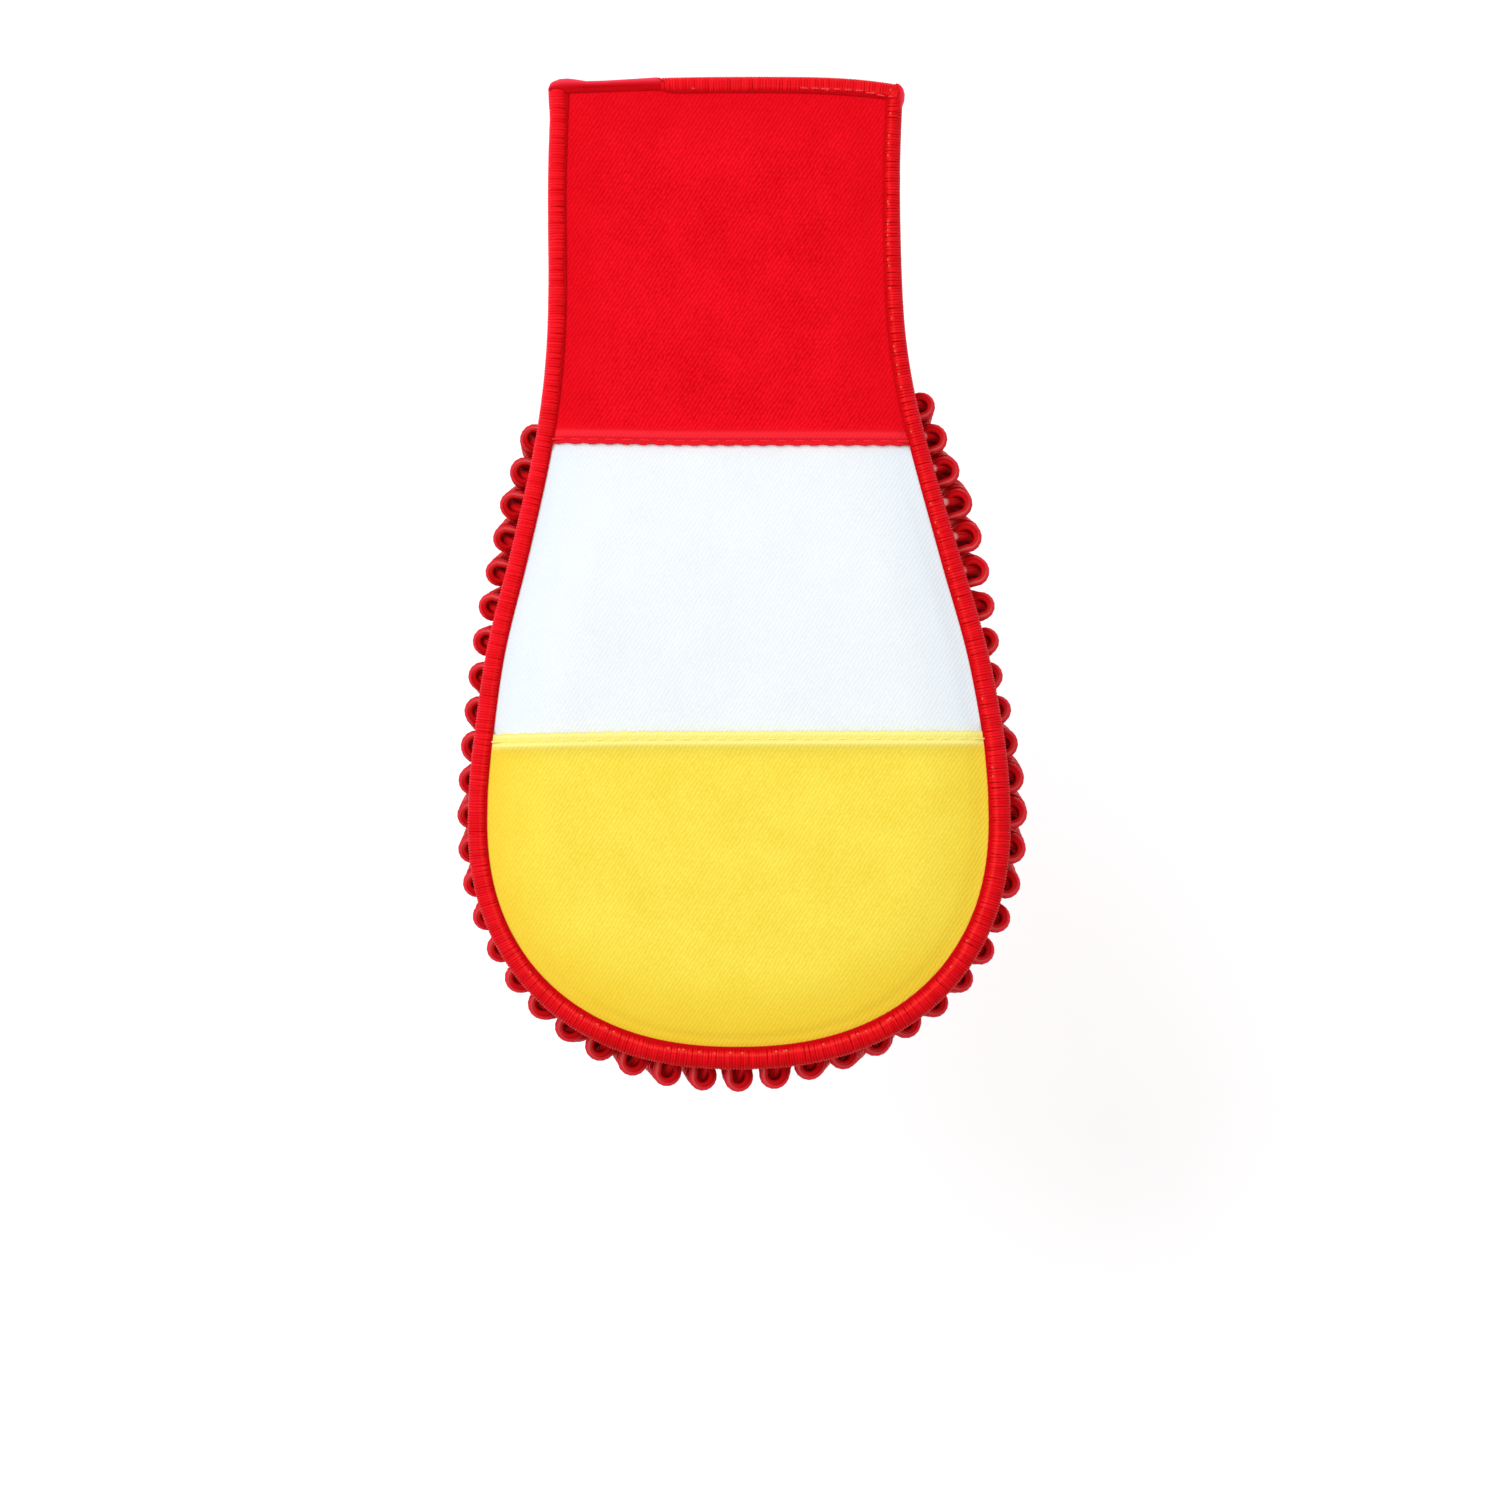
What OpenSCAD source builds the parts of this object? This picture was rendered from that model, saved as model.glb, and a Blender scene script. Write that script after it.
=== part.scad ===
// Fringed epaulette with a flat strap and an oval end, in millimetres.
// X runs across the strap, Y along it towards the collar, Z up out of the face.
// The origin is on the underside of the board, halfway along its length.

/* [Board] */
// Length of the face over its binding
board_len = 180; // [150:1:210]
// Width of the oval end over its binding
oval_w = 98.4; // [84:0.2:112]
// Thickness of the stiff board at its rim
board_t = 1; // [1:0.1:3]
// Height by which the oval end is crowned in its middle
oval_crown = 2.8; // [0.5:0.1:4]
// Height by which the strap is crowned in its middle
strap_crown = 0.6; // [0:0.1:1.5]

/* [Cloth] */
// Thickness of a cloth panel
cloth_t = 1; // [1:0.1:1.4]
// Thickness of a folded hem where it laps over the next panel
hem_t = 1.25; // [1.1:0.05:1.6]
// Depth of the stitched groove along a hem
hem_groove = 0.25; // [0:0.05:0.4]
// Height of the red hem's edge above the middle of the board
red_edge_y = 23; // [16:1:32]
// Width of the red hem
red_hem_w = 2.6; // [2:0.1:4]
// Height of the yellow hem's edge above the middle of the board
yellow_edge_y = -29.2; // [-38:0.2:-20]
// Width of the yellow hem
yellow_hem_w = 2.9; // [2:0.1:4]

/* [Binding] */
// Width of the binding on the face
binding_w = 3.4; // [3:0.1:4.5]
// Thickness of the binding where it lies on the face and under the board
binding_t = 1; // [0.8:0.1:1.4]

/* [Fringe] */
// Distance from one cord of the fringe to the next
cord_pitch = 6.35; // [5.6:0.05:8]
// Diameter of a cord
cord_d = 5.5; // [4:0.1:6]
// Length that the cords hang, on average
cord_len = 55; // [40:1:90]
// Most that a cord is longer or shorter than that
cord_vary = 4.5; // [0:0.5:6]
// Most that the tips spread away from the board
tip_spread = 3; // [0:0.5:8]
// Most that a tip leans along the row
tip_lean = 5; // [0:0.5:6]
// How far the tips at both ends of the row lean towards the strap
end_lean = 4; // [0:0.5:8]
// Thickness of the woven head of the fringe
head_t = 2; // [1:0.1:2.2]
// Width of the woven head of the fringe
head_w = 6.8; // [5:0.1:9]
// Height at which the fringe begins on the left
fringe_left_y = 24.6; // [10:0.2:34]
// Height at which the fringe ends on the right
fringe_right_y = 30.4; // [10:0.2:34]

/* [Hidden] */

LEFT = 1;
RIGHT = 2;

// The plan is drawn for this size and graded to the sizes above
plan_len = 180;
plan_w = 98.4;

// Side edges of the plan, from the strap's end down: [y, left x, right x]
SIDE_ROWS = [
    [90, -33.9, 30.4],
    [72, -34.5, 29.8],
    [48, -34.5, 30.4],
    [35, -35.3, 32.0],
    [22, -37.2, 35.1],
    [4, -41.2, 40.2],
    [-14, -45.6, 45.3],
    [-30, -47.9, 48.3],
    [-39, -48.8, 49.2],
    [-45, -49.0, 49.4]
];

// End edge of the strap, from right to left: [x, y]
TOP_ROWS = [
    [30.4, 88.7],
    [23, 89.5],
    [12, 90],
    [-12, 89.9],
    [-33.9, 89.2]
];

// The oval end below the side edges is a superellipse
oval_y = -45 * board_len / plan_len;
oval_x = 0.2 * oval_w / plan_w;
oval_a = oval_w / 2;
oval_b = board_len / 2 + oval_y;
oval_power = 2.25;
corner_r = 1.6;
least_r = 0.3;

// Small space between neighbouring pieces
gap = 0.15;

// Insets from the outer edge: the binding's wall, the cloth's edge and the hem's end
binding_wall = 1.2;
cloth_inset = 1.4;
hem_inset = binding_w + 0.2;

// Heights of cloth above the board: a panel, and a hem that laps over one
panel_low = gap;
panel_high = panel_low + cloth_t;
hem_low = panel_high + gap;
hem_high = hem_low + hem_t;

// The crown starts and ends this far inside the outer edge
crown_from = 4.4;
crown_to = 17;

// Where the strap's crown turns into the oval's
flare_top_y = 30;
flare_end_y = -8;

// Places across a panel, as shares of its width
COLUMNS = [0, 0.03, 0.08, 0.15, 0.26, 0.4, 0.6, 0.74, 0.85, 0.92, 0.97, 1];

// Row of a layer of cloth: [y, underside, top, inset of its side edges], heights above the board
function row(y, low, high, inset = cloth_inset) = [y, low, high, inset];

// Along a hem: rounding of its edge, room past the panel below, end of its ramp, and full width again
hem_round = 0.4;
hem_clear = 0.3;
hem_ramp = 1.6;
hem_full = 2.2;

// Rows of a hem, from its edge to where it comes down on the board; way is 1 towards +Y or -1
function hem_rows(edge_y, lap_y, way) = [
    row(edge_y, hem_low, hem_high - hem_groove, hem_inset),
    row(edge_y + way * hem_round, hem_low, hem_high, hem_inset),
    row((edge_y + lap_y) / 2, hem_low, hem_high - hem_groove, hem_inset),
    row(lap_y + way * hem_clear, hem_low, hem_high, hem_inset),
    row(lap_y + way * hem_ramp, panel_low, panel_high, hem_inset),
    row(lap_y + way * hem_full, panel_low, panel_high)
];

// Underside of the binding's lip on the face, and the middle and whole thickness of the bound rim
lip_low = board_t + panel_high + gap;
rim_middle = (lip_low - gap) / 2;
rim_t = lip_low + gap + 2 * binding_t;

// Binding's section, from the lip on the face round the edge to the slot: [inset, height]
BINDING_ROWS = [
    [binding_w, lip_low],
    [binding_w, lip_low + 0.6 * binding_t],
    [0.7 * binding_w, lip_low + binding_t],
    [0.3 * binding_w, lip_low + 0.85 * binding_t],
    [0.07 * binding_w, rim_middle + 0.3 * rim_t],
    [0, rim_middle],
    [0.07 * binding_w, rim_middle - 0.3 * rim_t],
    [0.3 * binding_w, -gap - binding_t],
    [0.9 * binding_w, -gap - binding_t],
    [binding_w, -gap],
    [binding_wall, -gap],
    [binding_wall, lip_low]
];

// A cord from its head to its tip: [share of its length, share of its diameter]
CORD_ROWS = [
    [0, 0.85],
    [0.03, 1],
    [0.16, 1],
    [0.32, 1.02],
    [0.48, 1],
    [0.64, 0.93],
    [0.78, 0.84],
    [0.88, 0.72],
    [0.93, 0.66],
    [0.97, 0.76],
    [1, 0.5]
];
cord_sides = 6;

// How far the outer side of the cords stands outside the binding: [share of the row, distance]
REACH_ROWS = [
    [0, 3.1],
    [0.04, 4.3],
    [0.09, 4.1],
    [0.15, 2.9],
    [0.21, 2.4],
    [0.31, 2.5],
    [0.37, 3.3],
    [0.45, 5.2],
    [0.5, 5.2],
    [0.54, 3.6],
    [0.6, 2.9],
    [0.67, 3.7],
    [0.75, 3.8],
    [0.83, 2.5],
    [0.89, 4.9],
    [0.93, 5.6],
    [1, 3.5]
];

head_top = -2 * gap - binding_t;
head_out = 0.8;
cord_top = head_top - 0.5 * head_t;

// Number of the table row at or just before a key; keys run downwards
function row_at(rows, key, i = 0) =
    i >= len(rows) - 2 || key >= rows[i + 1][0] ? i : row_at(rows, key, i + 1);

// Slope of column c of a table at row i
function row_slope(rows, c, i) =
    let (
        a = rows[max(i - 1, 0)],
        b = rows[min(i + 1, len(rows) - 1)]
    )
    (b[c] - a[c]) / (b[0] - a[0]);

// Smooth curve through column c of a table
function smooth(rows, c, key) =
    let (
        i = row_at(rows, key),
        a = rows[i],
        b = rows[i + 1],
        h = b[0] - a[0],
        u = (key - a[0]) / h,
        rise = 3 * u^2 - 2 * u^3,
        bend = (u^3 - 2 * u^2 + u) * row_slope(rows, c, i) + (u^3 - u^2) * row_slope(rows, c, i + 1)
    )
    a[c] * (1 - rise) + b[c] * rise + bend * h;

// Goes smoothly from 0 to 1 as t does
function ease(t) =
    let (u = min(max(t, 0), 1))
    u^2 * (3 - 2 * u);

// Rises fast from 0 and rounds over to 1 as t does
function swell(t) = sin(90 * min(max(t, 0), 1));

function side_x(c, y) = smooth(SIDE_ROWS, c, y * plan_len / board_len) * oval_w / plan_w;

function top_y(x) = smooth(TOP_ROWS, 1, x * plan_w / oval_w) * board_len / plan_len;

// Point of the oval end, d inside its edge, at an angle from 0 on the left to 180 on the right
function oval_point(angle, d) = [
    oval_x - (oval_a - d) * sign(cos(angle)) * abs(cos(angle))^(2 / oval_power),
    oval_y - (oval_b - d) * abs(sin(angle))^(2 / oval_power)
];

// Side edge at height y, a distance d inside the outer edge and square to it
function edge_x(c, y, d) =
    let (inwards = c == LEFT ? 1 : -1)
    y < oval_y
        ? oval_x - inwards * (oval_a - d) * (1 - ((oval_y - y) / (oval_b - d))^oval_power)^(1 / oval_power)
        : side_x(c, y) + inwards * d * norm([1, (side_x(c, y + 1) - side_x(c, y - 1)) / 2]);

// Round corner of the strap's end, d inside the outer edge
function corner(c, d) =
    let (
        inwards = c == LEFT ? 1 : -1,
        r = max(corner_r - d, least_r),
        x = edge_x(c, board_len / 2, d),
        y = top_y(x) - d,
        turns = c == LEFT ? [0, 45, 90] : [90, 45, 0]
    )
    [for (t = turns) [x + inwards * r * (1 - sin(t)), y - r * (1 - cos(t))]];

// Closed outline of the face, d inside its outer edge, anticlockwise from the strap's left corner
side_steps = 14;
end_steps = 5;
oval_step = 7.5;
function outline(d) =
    let (
        left_corner = corner(LEFT, d),
        right_corner = corner(RIGHT, d),
        left_y = left_corner[2].y,
        right_y = right_corner[0].y
    )
    concat(
        left_corner,
        [for (i = [1 : side_steps - 1])
            let (y = left_y + (oval_y - left_y) * i / side_steps)
            [edge_x(LEFT, y, d), y]],
        [for (a = [0 : oval_step : 180]) oval_point(a, d)],
        [for (i = [1 : side_steps - 1])
            let (y = oval_y + (right_y - oval_y) * i / side_steps)
            [edge_x(RIGHT, y, d), y]],
        right_corner,
        [for (i = [1 : end_steps - 1])
            let (x = right_corner[2].x + (left_corner[0].x - right_corner[2].x) * i / end_steps)
            [x, top_y(x) - d]]
    );

// Distance of a point of the face inside the outer edge
function depth(x, y) =
    y < oval_y
        ? oval_a * (1 - ((abs(x - oval_x) / oval_a)^oval_power
            + ((oval_y - y) / oval_b)^oval_power)^(1 / oval_power))
        : min(x - side_x(LEFT, y), side_x(RIGHT, y) - x, top_y(x) - y);

// Height of the board's top, crowned in the middle and flat under the binding
function board_top(x, y) =
    let (
        flare = ease((flare_top_y - y) / (flare_top_y - flare_end_y)),
        crown = strap_crown + (oval_crown - strap_crown) * flare
    )
    board_t + crown * swell((depth(x, y) - crown_from) / (crown_to - crown_from));

// Rows near the strap's end follow its edge
function bowed(x, y) = y + (top_y(x) - board_len / 2) * ease((y - flare_top_y) / (board_len / 2 - flare_top_y));

function backwards(list) = [for (i = [len(list) - 1 : -1 : 0]) list[i]];

// Two triangles for a face with four corners
function quad(a, b, c, d) = [[a, b, c], [a, c, d]];

// Faces of a skin over rings of points; joined goes round in a loop, and otherwise the ends are capped
function skin(rings, sides, joined) = concat(
    [for (k = [0 : rings - (joined ? 1 : 2)], i = [0 : sides - 1], f = quad(
        k * sides + i,
        k * sides + (i + 1) % sides,
        (k + 1) % rings * sides + (i + 1) % sides,
        (k + 1) % rings * sides + i
    )) f],
    joined ? [] : [
        [for (i = [sides - 1 : -1 : 0]) i],
        [for (i = [0 : sides - 1]) (rings - 1) * sides + i]
    ]
);

// Closed layer between two heights over a grid of rows; a base of its own makes its underside flat
module layer(rows, flat_base = false) {
    cols = len(COLUMNS);
    n = len(rows) * cols;
    plan = [for (r = rows, u = COLUMNS)
        let (
            y = r[0],
            left = edge_x(LEFT, y, cloth_inset),
            right = edge_x(RIGHT, y, cloth_inset),
            x = min(max(left + (right - left) * u, edge_x(LEFT, y, r[3])), edge_x(RIGHT, y, r[3]))
        )
        [x, bowed(x, y), board_top(x, y), r[1], r[2]]];
    top = [for (p = plan) [p[0], p[1], p[2] + p[4]]];
    under = [for (p = plan) [p[0], p[1], flat_base ? 0 : p[2] + p[3]]];
    rim = concat(
        [for (i = [0 : cols - 1]) i],
        [for (k = [1 : len(rows) - 1]) k * cols + cols - 1],
        [for (i = [cols - 2 : -1 : 0]) n - cols + i],
        [for (k = [len(rows) - 2 : -1 : 1]) k * cols]
    );
    polyhedron(concat(top, under), concat(
        [for (k = [0 : len(rows) - 2], i = [0 : cols - 2], f = quad(
            k * cols + i, k * cols + i + 1, (k + 1) * cols + i + 1, (k + 1) * cols + i
        )) f],
        [for (k = [0 : len(rows) - 2], i = [0 : cols - 2], f = quad(
            n + k * cols + i, n + (k + 1) * cols + i, n + (k + 1) * cols + i + 1, n + k * cols + i + 1
        )) f],
        [for (i = [0 : len(rim) - 1], f = quad(
            rim[(i + 1) % len(rim)], rim[i], n + rim[i], n + rim[(i + 1) % len(rim)]
        )) f]
    ));
}

// Heights of the grid rows on the strap, on the flare and round the oval end
end_y = board_len / 2 - cloth_inset;
strap_ys = [end_y, end_y - 3, end_y - 9, 66, 54, 44, 36];
flare_ys = [16, 8, 0, -8, -16, -23];
oval_ys = concat(
    [-38],
    [for (a = [0 : 10.5 : 84]) oval_y - (oval_b - cloth_inset) * sin(a)^(2 / oval_power)]
);
red_lap_y = red_edge_y + red_hem_w;
yellow_lap_y = yellow_edge_y - yellow_hem_w;

module board() {
    color("whitesmoke")
        layer([for (y = concat(strap_ys, [red_lap_y + hem_full, red_edge_y], flare_ys,
            [yellow_edge_y, yellow_lap_y - hem_full], oval_ys)) row(y, 0, 0)], flat_base = true);
}

// The red panel's hem laps over the white panel
module red_panel() {
    color([0.93, 0.05, 0.13])
        layer(concat(
            [for (y = strap_ys) row(y, panel_low, panel_high)],
            backwards(hem_rows(red_edge_y, red_lap_y, 1))
        ));
}

module white_panel() {
    color("white")
        layer([for (y = concat([red_lap_y, red_edge_y], flare_ys, [yellow_edge_y, yellow_lap_y]))
            row(y, panel_low, panel_high)]);
}

// The yellow panel's hem laps over the white panel
module yellow_panel() {
    color([0.99, 0.87, 0.28])
        layer(concat(
            hem_rows(yellow_edge_y, yellow_lap_y, -1),
            [for (y = oval_ys) row(y, panel_low, panel_high)]
        ));
}

// Satin-stitched binding that wraps the board and the cloth all round
module binding() {
    loops = [for (p = BINDING_ROWS) outline(p[0])];
    rings = len(loops[0]);
    sides = len(BINDING_ROWS);
    color([0.88, 0.07, 0.1])
        polyhedron(
            [for (k = [0 : rings - 1], i = [0 : sides - 1])
                [loops[i][k].x, loops[i][k].y, BINDING_ROWS[i][1]]],
            skin(rings, sides, true)
        );
}

// Outer edge from the left end of the fringe round the oval to its right end
route_steps = 8;
route = concat(
    [for (i = [0 : route_steps - 1])
        let (y = fringe_left_y + (oval_y - fringe_left_y) * i / route_steps)
        [side_x(LEFT, y), y]],
    [for (a = [0 : 4 : 180]) oval_point(a, 0)],
    [for (i = [1 : route_steps])
        let (y = oval_y + (fringe_right_y - oval_y) * i / route_steps)
        [side_x(RIGHT, y), y]]
);
function run_to(i) = i == 0 ? 0 : run_to(i - 1) + norm(route[i] - route[i - 1]);
route_x = [for (i = [0 : len(route) - 1]) [run_to(i), route[i].x]];
route_y = [for (i = [0 : len(route) - 1]) [run_to(i), route[i].y]];
route_len = run_to(len(route) - 1);
cords = round(route_len / cord_pitch) + 1;

// Place on the route at a share of its length, and the directions along it and outwards there
facing_step = 0.004;
function place(share) = [lookup(share * route_len, route_x), lookup(share * route_len, route_y)];
function along(share) =
    let (step = place(min(share + facing_step, 1)) - place(max(share - facing_step, 0)))
    step / norm(step);
function outwards(share) = [along(share).y, -along(share).x];

// Most that a cord bends aside in its middle, and that its tip hooks
cord_bend = 1.7;
cord_hook = 3;

// Slow and quick swings from cord to cord, between -1 and 1
function swing(i, seed) = 0.6 * sin(41 * i + seed) + 0.4 * sin(97 * i + 3 * seed);

// Middle of cord i at a share t of its length
function cord_point(i, t) =
    let (
        share = i / (cords - 1),
        out = lookup(share, REACH_ROWS) - cord_d / 2
            + tip_spread * (0.5 + 0.5 * swing(i, 20)) * t^1.5,
        lean = (end_lean * (2 * share - 1) + tip_lean * swing(i, 130)) * t
            + cord_bend * swing(i, 75) * sin(180 * t) + cord_hook * swing(i, 310) * t^5,
        flat = place(share) + outwards(share) * out + along(share) * lean,
        drop = cord_len + cord_vary * swing(i, 250)
    )
    [flat.x, flat.y, cord_top - drop * t];

module cord(i) {
    polyhedron(
        [for (r = CORD_ROWS, k = [0 : cord_sides - 1])
            let (a = 360 * k / cord_sides)
            cord_point(i, r[0]) + [cos(a), sin(a), 0] * cord_d / 2 * r[1]],
        skin(len(CORD_ROWS), cord_sides, false)
    );
}

// Plan of the woven head, a band of even width along the route
function head_edge(inset) = [for (i = [0 : cords - 1])
    let (share = i / (cords - 1))
    place(share) - outwards(share) * inset];

// Woven head sewn under the rim, with twisted cords hanging from it
module fringe() {
    color([0.75, 0.15, 0.17])
        union() {
            translate([0, 0, head_top - head_t])
                linear_extrude(head_t)
                    polygon(concat(head_edge(-head_out), backwards(head_edge(head_w - head_out))));
            for (i = [0 : cords - 1]) cord(i);
        }
}

board();
red_panel();
white_panel();
yellow_panel();
binding();
fringe();
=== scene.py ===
from math import copysign, cos, dist, hypot, pi, radians, sin, tau

import bpy
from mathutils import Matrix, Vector, noise


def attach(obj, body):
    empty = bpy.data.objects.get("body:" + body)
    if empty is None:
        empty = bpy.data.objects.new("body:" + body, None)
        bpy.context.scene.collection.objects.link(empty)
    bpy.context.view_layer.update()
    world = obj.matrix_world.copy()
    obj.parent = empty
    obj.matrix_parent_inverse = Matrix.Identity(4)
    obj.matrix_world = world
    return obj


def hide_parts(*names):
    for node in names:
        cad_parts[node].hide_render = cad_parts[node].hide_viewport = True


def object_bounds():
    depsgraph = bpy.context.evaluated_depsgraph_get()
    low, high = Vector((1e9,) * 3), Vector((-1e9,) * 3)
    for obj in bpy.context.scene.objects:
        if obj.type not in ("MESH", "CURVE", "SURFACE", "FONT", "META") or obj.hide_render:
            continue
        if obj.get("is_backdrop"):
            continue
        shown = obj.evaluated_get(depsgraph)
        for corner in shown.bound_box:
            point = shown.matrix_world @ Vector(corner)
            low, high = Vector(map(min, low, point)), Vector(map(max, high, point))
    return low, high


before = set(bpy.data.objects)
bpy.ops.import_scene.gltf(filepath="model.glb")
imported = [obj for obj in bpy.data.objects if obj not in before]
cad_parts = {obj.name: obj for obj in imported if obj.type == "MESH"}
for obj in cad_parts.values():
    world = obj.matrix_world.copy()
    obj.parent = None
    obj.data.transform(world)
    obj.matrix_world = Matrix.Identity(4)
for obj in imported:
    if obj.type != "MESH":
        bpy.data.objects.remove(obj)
cad_low, cad_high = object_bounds()


# Camera, studio light and floor.
# The camera looks straight down on the face from 0.7 m, with the collar end at the top of the picture. A white sky
# and a large soft lamp at the upper left light it, over a plain white floor a little below the fringe.
MM = 0.001
FACE_HEIGHT = 1.3
CAMERA_AT = (2.37, -32.4, 700)
FILM_WIDTH, LENS = 36, 92.2
SKY = 0.72
LAMP_AT = Vector((-0.55, 0.5, 0.95))
LAMP_SIZE, LAMP_POWER = 0.9, 6.8
FLOOR_DROP, FLOOR_HALF, FLOOR_GLOW = 130, 3000, 0.27
scene = bpy.context.scene


def placed(name, data):
    """An object at the origin."""
    made = bpy.data.objects.new(name, data)
    scene.collection.objects.link(made)
    return made


camera_data = bpy.data.cameras.new("camera")
camera_data.sensor_width, camera_data.lens = FILM_WIDTH, LENS
camera = placed("camera", camera_data)
camera.location = (CAMERA_AT[0] * MM, CAMERA_AT[1] * MM, (CAMERA_AT[2] + FACE_HEIGHT) * MM)
scene.camera = camera
scene.view_settings.view_transform = "Standard"
scene.view_settings.look = "None"

world = bpy.data.worlds.new("studio")
world.use_nodes = True
sky = world.node_tree.nodes["Background"].inputs
sky["Color"].default_value = (1, 1, 1, 1)
sky["Strength"].default_value = SKY
scene.world = world

lamp_data = bpy.data.lights.new("soft_lamp", "AREA")
lamp_data.shape, lamp_data.size, lamp_data.energy = "DISK", LAMP_SIZE, LAMP_POWER
lamp = placed("soft_lamp", lamp_data)
lamp.location = LAMP_AT
lamp.rotation_euler = (-LAMP_AT).to_track_quat("-Z", "Y").to_euler()


def colour(red, green, blue):
    """A colour read from 0 to 255 on a screen, as the linear values that the shaders take."""
    shares = (c / 255 for c in (red, green, blue))
    return tuple(c / 12.92 if c < 0.0404 else ((c + 0.055) / 1.055) ** 2.4 for c in shares) + (1,)


def maths(operation):
    """A method that makes a Math node of its values."""
    return lambda *values: sums(operation, *values)


class Value:
    """What a node puts out. A sum with it makes a Math node in its tree."""

    def __init__(self, tree, socket):
        self.tree, self.socket = tree, socket

    def other(self, name):
        return Value(self.tree, self.socket.node.outputs[name])

    def __rsub__(self, whole):
        return sums("SUBTRACT", whole, self)

    __add__, __sub__, __mul__ = maths("ADD"), maths("SUBTRACT"), maths("MULTIPLY")
    __truediv__, __pow__, __abs__ = maths("DIVIDE"), maths("POWER"), maths("ABSOLUTE")


def node(tree, kind, inputs=None, out=0, **settings):
    """Adds a node and gives one of its outputs. An input is a plain value, or a Value that feeds it."""
    made = tree.nodes.new(kind)
    for key, value in settings.items():
        setattr(made, key, value)
    for key, value in (inputs or {}).items():
        if isinstance(value, Value):
            tree.links.new(value.socket, made.inputs[key])
        else:
            made.inputs[key].default_value = value
    return Value(tree, made.outputs[out])


def sums(operation, *values):
    """The result of a Math node."""
    tree = next(value.tree for value in values if isinstance(value, Value))
    return node(tree, "ShaderNodeMath", dict(enumerate(values)), operation=operation)


def blended(share, low, high):
    """Mix of two colours by a share. Each is read from a screen, or comes from a node."""
    low, high = (tone if isinstance(tone, Value) else colour(*tone) for tone in (low, high))
    return node(share.tree, "ShaderNodeMix", {0: share, 6: low, 7: high}, 2, data_type="RGBA")


def place_in(tree):
    """Object coordinates."""
    return node(tree, "ShaderNodeTexCoord", out="Object")


def grain(place, scale, detail=2, roughness=0.5):
    """Soft random pattern from 0 to 1."""
    return node(place.tree, "ShaderNodeTexNoise",
                {"Vector": place, "Scale": scale, "Detail": detail, "Roughness": roughness}, "Fac")


def finish_of(name, roughness, specular):
    """A material and its tree. What is even sits on the shader's own sockets."""
    made = bpy.data.materials.new(name)
    made.use_nodes = True
    shader = made.node_tree.nodes["Principled BSDF"]
    shader.inputs["Roughness"].default_value = roughness
    shader.inputs["Specular IOR Level"].default_value = specular
    return made, made.node_tree


def coated(tone, height=None, strength=0.5, relief=0.0):
    """Feeds a colour to its tree's shader, and a height as bumps with a relief in millimetres."""
    shader = tone.tree.nodes["Principled BSDF"]
    tone.tree.links.new(tone.socket, shader.inputs["Base Color"])
    if height:
        bump = node(tone.tree, "ShaderNodeBump", {"Strength": strength, "Distance": relief * MM, "Height": height})
        tone.tree.links.new(bump.socket, shader.inputs["Normal"])
    return shader


def shape(name, points, faces, edges=()):
    """A mesh from points in millimetres."""
    mesh = bpy.data.meshes.new(name)
    mesh.from_pydata([[c * MM for c in p] for p in points], list(edges), faces)
    mesh.update()
    return mesh


def shown(name, mesh, material=None):
    """A piece at the origin, with smooth faces."""
    piece = placed(name, mesh)
    if material:
        mesh.materials.clear()
        mesh.materials.append(material)
    mesh.shade_smooth()
    return piece


floor_white, tree = finish_of("floor_white", roughness=1, specular=0)
shader = coated(blended(grain(place_in(tree), 40), (250, 250, 250), (252, 252, 252)))
shader.inputs["Emission Color"].default_value = (1, 1, 1, 1)
shader.inputs["Emission Strength"].default_value = FLOOR_GLOW
floor_at = cad_low[2] / MM - FLOOR_DROP
floor_points = [(x * FLOOR_HALF, y * FLOOR_HALF, floor_at) for x, y in ((-1, -1), (1, -1), (1, 1), (-1, 1))]
floor = shown("floor", shape("floor", floor_points, [(0, 1, 2, 3)]), floor_white)
floor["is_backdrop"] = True


# Board.
# A stiff board that carries the cloth, flat underneath and gently crowned on the face.
# It is cut to the plan of the epaulette, and its underside is plain red felt.
LEFT, RIGHT = 1, 2
SIDE_ROWS = [  # y, left x, right x
    (90, -33.9, 30.4), (72, -34.5, 29.8), (48, -34.5, 30.4), (35, -35.3, 32.0), (22, -37.2, 35.1),
    (4, -41.2, 40.2), (-14, -45.6, 45.3), (-30, -47.9, 48.3), (-39, -48.8, 49.2), (-45, -49.0, 49.4)]
TOP_ROWS = [(30.4, 88.7), (23, 89.5), (12, 90), (-12, 89.9), (-33.9, 89.2)]  # x, y
OVAL_X, OVAL_Y, OVAL_A, OVAL_B, OVAL_POWER = 0.2, -45, 49.2, 45, 2.25
HALF_LENGTH = 90
BOARD_THICK = 1
STRAP_CROWN, OVAL_CROWN = 0.6, 2.8
CROWN_FROM, CROWN_TO = 4.4, 17
FLARE_TOP, FLARE_END = 30, -8
WADDING, WADDING_FROM, WADDING_FULL = 0.38, 3.7, 5


def ease(t):
    """Goes smoothly from 0 to 1 as t does."""
    t = min(max(t, 0), 1)
    return t * t * (3 - 2 * t)


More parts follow.
